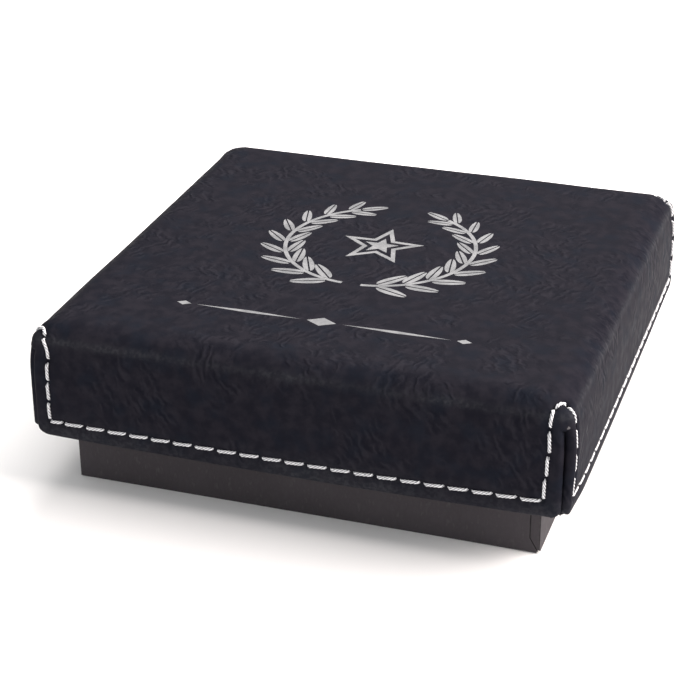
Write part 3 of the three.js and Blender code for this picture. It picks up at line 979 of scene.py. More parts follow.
@dataclass
class Seam:
    """The one topstitch run round the cover's edge."""

    form: CoverForm
    pitch: float = 4.0 * MM
    row_height: float = 3.25 * MM
    front: FlapSeam = FlapSeam(3.95 * MM, 4.2 * MM, 4.7 * MM, 3.8 * MM, start_low=1.6 * MM, first_share=0.62)
    right: FlapSeam = FlapSeam(start=2.8 * MM, start_top=2.5 * MM, pull=0.27 * MM, row_end_pull=0.14 * MM)
    back: FlapSeam = FlapSeam()
    left: FlapSeam = FlapSeam()
    leg_pull: float = 0.07 * MM
    arch_height: float = 4.15 * MM
    arch_drop: float = 4.6 * MM
    thread_radius: float = 0.29 * MM
    ply_offset: float = 0.46
    ply_radius: float = 0.54
    ply_valley: float = 0.60
    rise: float = 0.03 * MM
    dip: float = 1.0 * MM
    dive_start: float = 0.05
    dive_end: float = 0.19
    slant: float = -0.12 * MM
    twist_lead: float = 2.0 * MM
    ring_step: float = 0.16 * MM
    sides: int = 12

    @property
    def arch_start(self) -> float:
        """Length up the leather where the arches stand on the legs."""
        return self.form.height - self.arch_drop

    def trace(self, length: float, spot: Callable[[float], tuple[int, float, float]]) -> SeamRun:
        """Return one run of the seam.

        Args:
            length: Its length.
            spot: Gives the corner, the inset and the length up the leather at a share of the way.

        Returns:
            The run.
        """
        run = SeamRun([], [], round(length / self.pitch))
        for share in steps(0.0, 1.0, round(length / self.ring_step)):
            point, normal = self.form.seam_spot(*spot(share))
            run.points.append(point)
            run.normals.append(normal)
        return run

    def row(self, flap: int, lie: FlapSeam) -> SeamRun:
        """Return the row along a flap's rim.

        Args:
            flap: Index of the flap.
            lie: How the seam lies on it.

        Returns:
            The run.
        """
        side = 2 * self.form.half
        length = side - lie.start - lie.end

        def spot(share: float) -> tuple[int, float, float]:
            """Return the row's place at a share of its way."""
            inset = lie.start + length * share
            if inset < self.form.half:
                return (flap - 1) % len(Corner), inset, self.row_height
            return flap, inset - side, self.row_height

        run = self.trace(length, spot)
        run.first_share, run.pull_start, run.pull_end = lie.first_share, lie.pull, lie.row_end_pull
        return run

    def leg(self, corner: int, insets: tuple[float, float], ups: tuple[float, float]) -> SeamRun:
        """Return a leg beside a corner's slit, between two insets and two lengths up the leather."""
        length = abs(ups[1] - ups[0])
        return self.trace(length, lambda share: (corner, between(*insets, share), between(*ups, share)))

    def arch(self, corner: int, before: float, after: float, low: float) -> SeamRun:
        """Return the arch over a corner's slit.

        Args:
            corner: Index of the corner.
            before: Inset of the arch's foot on the flap before.
            after: The same on the flap after.
            low: How much lower the arch's second foot lies than its first.

        Returns:
            The run.
        """
        width = (before + after) / 2 / DIAGONAL

        def spot(share: float) -> tuple[int, float, float]:
            """Return the arch's place at a share of its way."""
            turn = math.pi * share
            side = before if share < 0.5 else after
            up = self.arch_start + self.arch_height * math.sin(turn) - low * share**2
            return corner, -side * math.cos(turn), up

        return self.trace(math.pi * math.hypot(self.arch_height, width) / DIAGONAL, spot)

    @cached_property
    def runs(self) -> list[SeamRun]:
        """All the runs, in order round the lid."""
        runs: list[SeamRun] = []
        flaps = [self.front, self.right, self.back, self.left]
        for flap, lie in enumerate(flaps):
            following = flaps[(flap + 1) % len(flaps)]
            pull = max(self.leg_pull, following.pull)
            rising = self.leg(flap, (-lie.end, -lie.end_top), (self.row_height, self.arch_start))
            rising.pull_start = self.leg_pull
            arch = self.arch(flap, lie.end_top, following.start_top, following.start_low)
            arch.pull_end = pull
            ups = (self.arch_start - following.start_low, self.row_height)
            falling = self.leg(flap, (following.start_top, following.start), ups)
            falling.pull_start, falling.pull_end = pull, pull
            runs += [self.row(flap, lie), rising, arch, falling]
        return runs

    def stitch_shares(self, run: SeamRun) -> list[float]:
        """Return each point's place in its own stitch, from 0 at one needle hole to 1 at the next.

        Args:
            run: The run of the seam.

        Returns:
            The places.
        """
        total = run.stitches - 1 + run.first_share
        shares: list[float] = []
        for index in range(len(run.points)):
            way = total * index / len(run.points)
            shares.append(way / run.first_share if way < run.first_share else (way - run.first_share) % 1.0)
        return shares

    @cached_property
    def rings(self) -> list[tuple[Vector, Vector, float]]:
        """Each ring of the thread: its point on the leather, direction out and share of its stitch."""
        made: list[tuple[Vector, Vector, float]] = []
        for run in self.runs:
            pulls = steps(run.pull_start, run.pull_end, len(run.points))
            points = [point - normal * pull for point, normal, pull in zip(run.points, run.normals, pulls)]
            made.extend(zip(points, run.normals, self.stitch_shares(run)))
        return made

    @cached_property
    def tree(self) -> KDTree:
        """Tree of the seam's points on the leather."""
        return point_tree([point for point, _, _ in self.rings])

    @cached_property
    def hole_tree(self) -> KDTree:
        """Tree of the needle holes."""
        shares = [share for _, _, share in self.rings]
        return point_tree([ring[0] for index, ring in enumerate(self.rings) if ring[2] < shares[index - 1]])

    def lift(self, share: float) -> float:
        """Return how high the thread's middle lies over the leather at a place in its stitch."""
        nearest = min(share, 1 - share)
        return -self.dip + (self.rise + self.dip) * smooth_share(nearest, self.dive_start, self.dive_end)

    def lobe(self, angle: float) -> float:
        """Return the radius of three twisted plies at an angle, as a share of the thread's.

        Args:
            angle: Angle round the thread.

        Returns:
            The share.
        """
        third = TURN / 3
        off = (angle + third / 2) % third - third / 2
        aside = self.ply_offset * math.sin(off)
        return self.ply_offset * math.cos(off) + math.sqrt(self.ply_radius**2 - aside**2)

    def build(self) -> None:
        """Build the thread as one unbroken twisted ring."""
        rings = self.rings
        count = len(rings)
        middles: list[Vector] = []
        for index, (point, normal, share) in enumerate(rings):
            ahead = (rings[(index + 1) % count][0] - rings[index - 1][0]).normalized()
            across = normal.cross(ahead).normalized()
            middles.append(point + normal * self.lift(share) + across * self.slant * (1 - 2 * share))
        lengths = [0.0]
        for index in range(1, count):
            lengths.append(lengths[-1] + (rings[index][0] - rings[index - 1][0]).length)
        turns = round(lengths[-1] / self.twist_lead) * TURN / lengths[-1]

        def place(column: int, row: int) -> Vector:
            """Return a point of the thread's skin."""
            normal = rings[row][1]
            ahead = (middles[(row + 1) % count] - middles[row - 1]).normalized()
            across = ahead.cross(normal).normalized()
            upward = across.cross(ahead)
            angle = TURN * column / self.sides
            radius = self.thread_radius * self.lobe(angle)
            spin = angle + turns * lengths[row]
            return middles[row] + (across * math.cos(spin) + upward * math.sin(spin)) * radius

        mesh = closed_grid(self.sides, count, place, ring=True)
        point_outward(mesh)
        # The ply share places the thread's painted shade between its plies.
        ply = mesh.verts.layers.float.new("ply")
        tree = point_tree(middles)
        for vert in mesh.verts:
            middle, _, _ = tree.find(vert.co)
            vert[ply] = smooth_share((vert.co - middle).length / self.thread_radius, self.ply_valley, 1.0)
        piece = finished(mesh, "seam_thread_twisted", TwistedThread().material())
        install(piece, Body.LID, Slot.THREAD, "lid_seam_thread")


@dataclass(frozen=True)
class FlapEnd:
    """How a flap ends at a corner: its move towards the flap's middle, and its lower corner's radius."""

    move: float = 0.0
    lower_corner: float = 1.7 * MM


@dataclass
class LidCover:
    """The cross-shaped leatherette cover, with rolled flap ends at each corner's slit."""

    form: CoverForm
    seam: Seam
    even_end: FlapEnd = FlapEnd()
    front_right_end: FlapEnd = FlapEnd(move=0.42 * MM, lower_corner=0.9 * MM)
    right_front_end: FlapEnd = FlapEnd(move=-0.42 * MM, lower_corner=0.9 * MM)
    slit_half: float = 0.12 * MM
    slit_depth: float = 0.6 * MM
    slit_top_drop: float = 4.0 * MM
    slit_fade: float = 1.5 * MM
    roll: float = 0.85 * MM
    lift_reach: float = 6.0 * MM
    lift_depths: tuple[float, float] = (-0.1, 0.8)
    tuck_depths: tuple[float, float] = (0.0, 0.5)
    hem_width: float = 6.5 * MM
    hem_edge: float = 0.25 * MM
    hem_corners: tuple[float, float] = (0.1 * MM, 0.3 * MM)
    hem_ledge: float = 0.05 * MM
    zone: float = 7.5 * MM
    board_chamfer: float = 1.4 * MM
    roll_steps: int = 7
    wall_steps: int = 4
    zone_steps: int = 18
    flat_steps: int = 260
    rim_steps: int = 6
    seam_steps: int = 13
    plain_steps: int = 5
    crown_steps: int = 36
    top_shares: tuple[float, ...] = (1.0, 0.985, 0.95, 0.85, 0.6, 0.3, 0.08)
    ditch_depth: float = 0.20 * MM
    ditch_width: float = 0.70 * MM
    hole_depth: float = 0.40 * MM
    hole_width: float = 0.42 * MM
    welt: float = 0.09 * MM
    wave: float = 0.10 * MM
    wave_length: float = 17 * MM
    wave_fade: float = 0.4 * MM
    raw_reach: float = 0.5 * MM
    fold_mark_reach: float = 0.6 * MM
    fold_wear_and_highlight: float = 0.75
    rim_highlight: float = 1.0
    rim_reach: float = 0.3 * MM
    hem_paling: float = 0.85

    @property
    def roll_across(self) -> float:
        """Distance of an even rolled end's middle line from the corner's diagonal."""
        return self.roll + self.slit_half

    @property
    def roll_outward(self) -> float:
        """Distance of an even rolled end's middle line from the lid's middle, along the diagonal."""
        return DIAGONAL * (self.form.half - self.roll) - self.roll_across

    @property
    def slit_bottom(self) -> float:
        """Distance of the slits' bottom from the lid's middle, along the diagonal."""
        return self.roll_outward - self.slit_depth

    @property
    def slit_end(self) -> float:
        """Height over the rim where the slits end."""
        return self.form.height - self.slit_top_drop

    @property
    def flap_length(self) -> float:
        """Length of a flap's leather, with its hem."""
        return self.form.height + self.hem_width

    @property
    def cut_side(self) -> float:
        """Side of the square that the cross is cut from."""
        return 2 * (self.form.half + self.flap_length)

    @property
    def cut_area(self) -> float:
        """Flat area of the cross."""
        side = 2 * self.form.half
        return side**2 + 4 * side * self.flap_length

    def slit_side(self, move: float) -> list[tuple[float, float]]:
        """Return one side of a slit's outline, from next to its bottom to the flap.

        Args:
            move: How far the flap's end is moved towards its middle.

        Returns:
            The places, across the diagonal and outward from the lid's middle.
        """
        step = move / DIAGONAL
        top = self.roll_outward - step
        side = [(self.slit_half + step, height) for height in steps(self.slit_bottom, top, self.wall_steps)]
        for turn in steps(math.pi, EIGHTH_TURN, self.roll_steps) + [EIGHTH_TURN]:
            across = self.roll_across + step + self.roll * math.cos(turn)
            side.append((across, top + self.roll * math.sin(turn)))
        return side

    def corner_side(self, corner: int, before: FlapEnd, after: FlapEnd, side: int) -> list[CoverSpot]:
        """Return the places on one side of a corner, from the slit's bottom outwards.

        Args:
            corner: Index of the corner.
            before: End of the flap before it.
            after: End of the flap after it.
            side: 1 for the flap after the corner, -1 for the flap before it.

        Returns:
            The places.
        """
        end = after if side > 0 else before
        middle = (after.move - before.move) / 2
        made = [CoverSpot(corner, middle, middle / DIAGONAL, self.slit_bottom, in_slit=True)]
        flap_end = (self.roll_outward - self.roll_across) / DIAGONAL - end.move
        end_along = self.form.along(self.form.half - flap_end)
        places = self.slit_side(end.move)
        for index, (across, outward) in enumerate(places):
            along = between(middle, side * end_along, (index + 1) / len(places))
            reach = flap_end + self.roll if index < self.wall_steps else (outward - across) / DIAGONAL
            lift = self.flap_lift(reach, flap_end, end)
            made.append(CoverSpot(corner, along, side * across, outward, lift, in_slit=True))
        for distance in steps(0.0, self.zone - (self.form.half - flap_end), self.zone_steps)[1:]:
            lift = self.flap_lift(flap_end - distance, flap_end, end)
            made.append(CoverSpot(corner, side * (end_along + distance), lift=lift))
        return made

    def flap_lift(self, reach: float, flap_end: float, end: FlapEnd) -> float:
        """Return how far a flap's rounded lower corner rises, at a reach from the flap's middle."""
        inward = min(end.lower_corner, max(0.0, flap_end + self.roll - reach))
        return end.lower_corner - math.sqrt(end.lower_corner**2 - (end.lower_corner - inward) ** 2)

    @cached_property
    def spots(self) -> list[CoverSpot]:
        """The ring's places, all round the lid."""
        middle = self.form.along(self.form.half)
        flat = steps(self.form.along(self.zone), middle, self.flat_steps // 2)
        ring: list[CoverSpot] = []
        for corner in range(len(Corner)):
            ends = (self.even_end, self.even_end)
            if corner == Corner.FRONT_RIGHT.value:
                ends = (self.front_right_end, self.right_front_end)
            ring += reversed(self.corner_side(corner, *ends, -1)[1:])
            ring += self.corner_side(corner, *ends, 1)
            ring += [CoverSpot(corner, along) for along in flat + [middle]]
            ring += [CoverSpot((corner + 1) % len(Corner), -along) for along in reversed(flat)]
        return ring

    @cached_property
    def outer_levels(self) -> list[CoverLevel]:
        """The levels of the outside, from the rim's inner edge to the middle of the top."""
        form = self.form
        hem = form.half - form.hem_thickness
        levels = [
            CoverLevel(hem, self.hem_corners[0], self.hem_edge),
            CoverLevel(hem + self.hem_edge, self.hem_corners[1], 0.0),
        ]
        for turn in steps(0.0, QUARTER_TURN, self.rim_steps):
            inset = form.rim_roll * (1 - math.sin(turn))
            height = form.rim_roll * (1 - math.cos(turn))
            levels.append(CoverLevel(form.half - inset, form.wall_corner, height))
        row_end = 2 * self.seam.row_height
        heights = steps(form.rim_roll, row_end, self.seam_steps)
        heights += steps(row_end, form.crown_start, self.plain_steps)
        levels += [CoverLevel(form.half, form.wall_corner, height) for height in heights]
        levels += [form.crown(length) for length in steps(0.0, form.crown_length, self.crown_steps)]
        edge = form.crown(form.crown_length)
        for share in self.top_shares:
            levels.append(CoverLevel(edge.half * share, edge.corner * share, edge.height, edge.tilt))
        return levels

    @cached_property
    def inner_levels(self) -> list[tuple[CoverLevel, CoverLevel]]:
        """The levels of the hidden inside, from the top down, for the flaps and for the corners."""
        form = self.form
        hem = form.half - form.hem_thickness
        post = form.half - self.hem_width
        sheet = form.half - form.sheet_thickness
        ceiling = form.height - form.sheet_thickness
        board_top = form.height - form.hem_thickness
        ledge = self.hem_width + self.hem_ledge
        fold_end = form.lean.length + form.fold.length
        flap = [CoverLevel(post, 0.0, ceiling)]
        for length in (form.crown_length, (form.crown_length + fold_end) / 2, fold_end, 0.0):
            flap.append(form.crown(length, form.sheet_thickness))
        flap.append(CoverLevel(sheet, form.wall_corner - form.sheet_thickness, ledge))
        flap.append(CoverLevel(hem, 0.0, self.hem_width))
        corner = [(post, ceiling), (post, board_top), (hem - self.board_chamfer, board_top)]
        corner += [(hem, height) for height in (board_top - self.board_chamfer, form.crown_start)]
        corner += [(hem, height) for height in (ledge, self.hem_width)]
        return list(zip(flap, [CoverLevel(half, 0.0, height) for half, height in corner]))

    def outer_point(self, spot: CoverSpot, level: CoverLevel, row: int) -> Vector:
        """Return a point of the outside, with the slit and the flap's rounded corner in it.

        Args:
            spot: Place on the ring.
            level: Level of the point.
            row: Index of the level.

        Returns:
            The point.
        """
        form = self.form
        on_hem = row < 2
        point, outward = form.outline(level, spot.along, True)
        opened = 1 - smooth_share(level.height, self.slit_end - self.slit_fade, self.slit_end)
        if spot.in_slit and opened > 0 and not on_hem:
            outer = max(self.slit_bottom, spot.outward - DIAGONAL * (form.half - level.half))
            root = math.sqrt(0.5)
            slit = Vector(((outer + spot.across) * root, (spot.across - outer) * root, point.z))
            point = point.lerp(slit, opened)
        depth = (level.half - form.half + form.hem_thickness) / form.hem_thickness
        share = max(0.0, 1 - level.height / self.lift_reach) ** 2
        point.z += spot.lift * share * smooth_share(depth, *self.lift_depths) + form.sag(point)
        point.x -= form.tuck(spot.corner, spot.along, point) * smooth_share(depth, *self.tuck_depths)
        turned = quarter_turns(spot.corner)
        point = turned @ point
        return point if on_hem else point + turned @ level.out(outward) * self.pressed(point)

    def pressed(self, point: Vector) -> float:
        """Return how far the leather stands out at a point, for ditch, needle holes, welt and a soft wave.

        Args:
            point: The point.

        Returns:
            The distance, negative where the leather is pressed in.
        """
        _, _, to_seam = self.seam.tree.find(point)
        _, _, to_hole = self.seam.hole_tree.find(point)
        drop = self.ditch_depth * bell(to_seam, self.ditch_width)
        drop += self.hole_depth * bell(to_hole, self.hole_width)
        welt = self.welt * bell(to_seam - 2 * self.ditch_width, self.ditch_width)
        flat = smooth_share(point.z, self.form.top - self.wave_fade, self.form.top)
        swell = self.wave * noise.noise(point / self.wave_length) * (1 - flat)
        return welt - drop + swell

    def slit_top(self, corner: Corner) -> Vector:
        """Return the place on the leather where a corner's slit ends."""
        move = self.front_right_end.move if corner is Corner.FRONT_RIGHT else 0.0
        return self.form.seam_spot(corner.value, -move, self.slit_end)[0]

    def mark(self, mesh: BMesh) -> None:
        """Mark on the cover's points the needle holes for painted shade, the slits' raw tops, and the paler
        places: the fold's wear with painted highlight, the rim's painted highlight and the paler hem.

        Args:
            mesh: The cover's mesh.
        """
        pit, raw, wear_and_sheen = (mesh.verts.layers.float.new(name) for name in ("pit", "raw", "wear_and_sheen"))
        slit_tree = point_tree([self.slit_top(corner) for corner in Corner])
        for vert in mesh.verts:
            vert[pit] = bell(self.seam.hole_tree.find(vert.co)[2], self.hole_width)
            vert[raw] = bell(slit_tree.find(vert.co)[2], self.raw_reach)
            height = vert.co.z - self.form.rim
            # Rim: painted highlight on the roll. Hem: a paler band up to the row. Fold: wear with a painted
            # highlight.
            rim_highlight = self.rim_highlight * bell(height - self.rim_reach, self.rim_reach)
            hem_paling = self.hem_paling * bell(height, self.seam.row_height)
            fold_wear_and_highlight = self.fold_wear_and_highlight * bell(height - self.form.fold_height, self.fold_mark_reach)
            vert[wear_and_sheen] = max(rim_highlight, hem_paling, fold_wear_and_highlight)

    def build(self) -> None:
        """Build the cover."""
        inner = self.inner_levels
        outer = self.outer_levels
        split = len(inner)

        def place(column: int, row: int) -> Vector:
            """Return a point of the cover."""
            spot = self.spots[column]
            if row >= split:
                return self.outer_point(spot, outer[row - split], row - split)
            near_corner = abs(spot.along) < self.form.along(self.hem_width)
            level = inner[row][1 if near_corner else 0]
            return quarter_turns(spot.corner) @ self.form.outline(level, spot.along, True)[0]

        mesh = closed_grid(len(self.spots), split + len(outer) - 1, place)
        bmesh.ops.holes_fill(mesh, edges=[edge for edge in mesh.edges if edge.is_boundary], sides=0)
        point_outward(mesh)
        self.mark(mesh)
        cover = finished(mesh, "lid_cover_leatherette", Leatherette().material())
        install(cover, Body.LID, Slot.LEATHERETTE, "lid_cover")
        self.cut_area


# The lid's silver design


@dataclass
class SilverDesign:
    """A laurel wreath round a star over a small ornament rule, stamped flat on the lid."""

    face: float
    middle: Vector = field(default_factory=lambda: Vector((0.0, 3.0 * MM, 0.0)))
    thickness: float = 0.03 * MM
    sunk: float = 0.015 * MM
    merge: float = 0.01 * MM
    wreath_radius: float = 17.5 * MM
    stem_width: float = 0.75 * MM
    stem_start: float = 0.10
    stem_gap: float = 0.62
    stem_steps: int = 40
    leaves: int = 9
    leaf_shift: float = 0.6
    leaf_length: float = 6.4 * MM
    leaf_width: float = 1.15 * MM
    leaf_taper: float = 0.35
    leaf_shrink: float = 0.25
    leaf_lean: float = 0.62
    leaf_gap: float = 0.25 * MM
    leaf_steps: int = 20
    tip_size: float = 0.8
    vein: float = 0.16 * MM
    star_points: int = 5
    star_radius: float = 8.0 * MM
    star_waist: float = 0.42
    star_line: float = 0.8 * MM
    star_heart: float = 0.42
    rule_drop: float = 33.5 * MM
    rule_half: float = 25.0 * MM
    rule_width: float = 0.9 * MM
    bar_place: float = 0.53
    bar_half: float = 0.38
    lozenge: float = 2.6 * MM
    lozenge_width: float = 0.6
    small_lozenge: float = 0.5
    small_width: float = 0.3

    def half_leaf(self, mesh: BMesh, place: Matrix, side: int) -> None:
        """Add one half of a leaf, on one side of its vein.

        Args:
            mesh: Mesh that takes the half leaf.
            place: Place of the leaf's foot, which points along X.
            side: 1 or -1.
        """
        made = bmesh.ops.create_circle(mesh, cap_ends=True, segments=self.leaf_steps, radius=0.5)["verts"]
        for vert in made:
            across = max(0.0, vert.co.y * 2)
            share = vert.co.x + 0.5
            width = self.leaf_width * across * (1 - self.leaf_taper * share)
            vert.co = Vector((share * self.leaf_length, side * (width + self.vein), 0.0))
        bmesh.ops.transform(mesh, matrix=place, verts=made)

    def add_leaf(self, mesh: BMesh, angle: float, reach: float, heading: float, size: float) -> None:
        """Add a leaf.

        Args:
            mesh: Mesh that takes the leaf.
            angle: Place of its foot round the wreath.
            reach: Distance of its foot from the wreath's middle.
            heading: Direction that it points in.
            size: Share of the full size.
        """
        foot = Matrix.Rotation(angle, 4, "Z") @ Matrix.Translation((reach, 0.0, 0.0))
        turned = Matrix.Rotation(heading - angle, 4, "Z") @ Matrix.Scale(size, 4)
        for side in (1, -1):
            self.half_leaf(mesh, foot @ turned, side)

    def add_wreath(self, mesh: BMesh) -> None:
        """Add two curved stems with pairs of leaves along them, and a leaf at each tip.

        Args:
            mesh: Mesh that takes the wreath.
        """
        inner = self.wreath_radius - self.stem_width / 2
        for side in (1, -1):
            start = -QUARTER_TURN + side * self.stem_start
            turn = side * (math.pi - self.stem_gap)
            foot = Matrix.Rotation(start, 3, "Z")
            reaches = (inner, inner + self.stem_width)
            ends = [mesh.verts.new(foot @ Vector((reach, 0.0, 0.0))) for reach in reaches]
            bmesh.ops.spin(
                mesh,
                geom=[*ends, mesh.edges.new(ends)],
                cent=(0, 0, 0),
                axis=(0, 0, 1),
                angle=turn,
                steps=self.stem_steps,
                use_merge=False,
            )
            for index in range(self.leaves):
                share = (index + self.leaf_shift) / self.leaves
                angle = start + turn * share
                for outward in (1, -1):
                    heading = angle + side * (QUARTER_TURN - outward * self.leaf_lean)
                    reach = self.wreath_radius + outward * (self.stem_width / 2 + self.leaf_gap)
                    self.add_leaf(mesh, angle, reach, heading, 1.0 - self.leaf_shrink * share)
            tip = start + turn + side * self.leaf_gap / self.wreath_radius
            self.add_leaf(mesh, tip, self.wreath_radius, tip + side * QUARTER_TURN, self.tip_size)

    def add_star(self, mesh: BMesh, radius: float, line: float) -> None:
        """Add a star.

        Args:
            mesh: Mesh that takes the star.
            radius: Its outer radius.
            line: Width of its outline, or 0 for a full star.
        """
        corners = 2 * self.star_points
        made = bmesh.ops.create_circle(mesh, cap_ends=True, segments=corners, radius=1.0)["verts"]
        for index, vert in enumerate(made):
            reach = radius if index % 2 == 0 else radius * self.star_waist
            angle = QUARTER_TURN + index * math.pi / self.star_points
            vert.co = Vector((math.cos(angle), math.sin(angle), 0.0)) * reach
        if line:
            inner = list(made[0].link_faces)
            bmesh.ops.inset_region(mesh, faces=inner, thickness=line, use_even_offset=True, use_boundary=True)
            bmesh.ops.delete(mesh, geom=inner, context="FACES")

    def add_rule(self, mesh: BMesh) -> None:
        """Add a tapered rule with a lozenge in its middle and one at each end.

        Args:
            mesh: Mesh that takes the rule.
        """
        small = (self.lozenge * self.small_lozenge, self.lozenge * self.small_width)
        bar = (self.rule_half * self.bar_half, self.rule_width / 2)
        shapes = [(0.0, self.lozenge, self.lozenge * self.lozenge_width)]
        shapes += [(side * self.rule_half, *small) for side in (-1, 1)]
        shapes += [(side * self.rule_half * self.bar_place, *bar) for side in (-1, 1)]
        for centre, half_length, half_width in shapes:
            made = bmesh.ops.create_circle(mesh, cap_ends=True, segments=4, radius=1.0)["verts"]
            size = Matrix.Diagonal((half_length, half_width, 1.0, 1.0))
            place = Matrix.Translation((centre, -self.rule_drop, 0.0))
            bmesh.ops.transform(mesh, matrix=place @ size, verts=made)

    def build(self) -> None:
        """Build the design."""
        mesh = bmesh.new()
        self.add_wreath(mesh)
        self.add_star(mesh, self.star_radius, self.star_line)
        self.add_star(mesh, self.star_radius * self.star_heart, 0.0)
        self.add_rule(mesh)
        bmesh.ops.remove_doubles(mesh, verts=mesh.verts, dist=self.merge)
        for face in mesh.faces:
            if face.normal.z < 0:
                face.normal_flip()
        drawn_out(mesh, mesh.faces, Vector((0.0, 0.0, self.thickness + self.sunk)))
        point_outward(mesh)
        place = self.middle + Vector((0.0, 0.0, self.face - self.sunk))
        bmesh.ops.translate(mesh, vec=place, verts=mesh.verts)
        piece = finished(mesh, "lid_silver_design", SilverFoil().material(), smooth=False)
        install(piece, Body.LID, None)


# The base's wrap


@dataclass
class BaseWrap:
    """Wrap paper over the base's underside and walls, turned over the rim, with a panel laid on each wall."""

    half: float
    height: float
    sheet: float = 0.25 * MM
    step: float = 0.10 * MM
    wall: float = 2.45 * MM
    turn_in: float = 8.0 * MM
    tab: float = 1.85 * MM
    mitre: float = 2.8 * MM
    corner_round: float = 0.22 * MM
    panel_round: float = 0.045 * MM
    gap: float = 0.17 * MM
    strip_step: float = 0.06 * MM
    line_lift: float = 0.01 * MM

    def shell(self) -> BMesh:
        """Return the sheet under the panels, from the underside to the end of its turn-in.

        Returns:
            The sheet.
        """
        mesh = bmesh.new()
        bmesh.ops.create_cube(mesh, size=1.0)
        half = self.half - self.step
        bmesh.ops.scale(mesh, vec=(2 * half, 2 * half, self.height), verts=mesh.verts)
        bmesh.ops.translate(mesh, vec=(0.0, 0.0, self.height / 2), verts=mesh.verts)
        top = [face for face in mesh.faces if face.normal.z > 0.5]
        bmesh.ops.inset_region(mesh, faces=top, thickness=self.wall - self.step, use_even_offset=True)
        drawn_out(mesh, top, Vector((0.0, 0.0, -self.turn_in)), keep=False)
        upward = [face for face in mesh.faces if face.normal.z > 0.5]
        extra = [face for face in upward if face.calc_center_median().length < self.height]
        bmesh.ops.delete(mesh, geom=extra, context="FACES")
        soften(mesh, self.corner_round, 3)
        point_outward(mesh)
        bmesh.ops.solidify(mesh, geom=list(mesh.faces), thickness=self.sheet - self.step)
        point_outward(mesh)
        return mesh

    @property
    def cut(self) -> list[Vector]:
        """The panel's cut beside the right corner, from the rim down its mitre to the corner's foot."""
        line = self.half - self.tab
        foot = self.half - self.step - self.corner_round
        places = ((line, self.height - self.corner_round), (line, self.mitre), (foot, self.corner_round))
        return [Vector((across, 0.0, up)) for across, up in places]

    @property
    def strip_edge(self) -> list[Vector]:
        """The corner strip's edge, a gap beside the panel's cut."""
        top, turn, foot = self.cut
        down = foot - turn
        lift = self.gap * down.length / down.x
        aside = Vector((self.gap, 0.0, 0.0))
        raised = Vector((0.0, 0.0, lift + self.gap * down.z / down.x))
        return [top + aside, turn + aside + raised, foot + Vector((0.0, 0.0, lift))]

    def sheet_on_wall(self, mesh: BMesh, outline: list[Vector], lift: float, wall: Wall) -> list[BMVert]:
        """Add a flat sheet on a wall.

        Args:
            mesh: Mesh that takes it.
            outline: Its outline, across the wall and up it.
            lift: Its height over the shell. A sheet that lies higher than the line lift is a closed solid.
            wall: Its wall.

        Returns:
            Its vertices.
        """
        out = Vector((0.0, self.step - self.half, 0.0))
        face = mesh.faces.new([mesh.verts.new(place + out) for place in outline])
        verts = list(face.verts)
        move = Vector((0.0, -lift, 0.0))
        if lift > self.line_lift:
            verts += drawn_out(mesh, [face], move)
        else:
            bmesh.ops.translate(mesh, vec=move, verts=verts)
        bmesh.ops.transform(mesh, matrix=quarter_turns(wall.value), verts=verts)
        return verts

    def panel(self, mesh: BMesh, wall: Wall) -> None:
        """Add a wall's panel and the strip that it leaves bare at its right end.

        Args:
            mesh: Mesh that takes them.
            wall: Their wall.
        """
        near = self.step - self.half
        ends = [Vector((near, 0.0, up)) for up in (self.corner_round, self.height - self.corner_round)]
        self.sheet_on_wall(mesh, self.cut + ends, self.step, wall)
        top, turn, foot = self.strip_edge
        corner = Vector((foot.x, 0.0, top.z))
        self.sheet_on_wall(mesh, [top, turn, foot, corner], self.strip_step, wall)

    def build(self) -> None:
        """Build the wrap."""
        panels = bmesh.new()
        for wall in Wall:
            self.panel(panels, wall)
        point_outward(panels)
        soften(panels, self.panel_round, 1)
        sheet = bpy.data.meshes.new("panels")
        panels.to_mesh(sheet)
        panels.free()
        mesh = self.shell()
        mesh.from_mesh(sheet)
        bpy.data.meshes.remove(sheet)
        shade = mesh.verts.layers.float.new("gap")
        for wall in Wall:
            for vert in self.sheet_on_wall(mesh, self.cut + self.strip_edge[::-1], self.line_lift, wall):
                vert[shade] = 1.0
        wrap = finished(mesh, "base_wrap_paper", WrapPaper(self.half).material(), smooth=False)
        install(wrap, Body.BASE, Slot.WRAP, "base_wrap")


# The insert


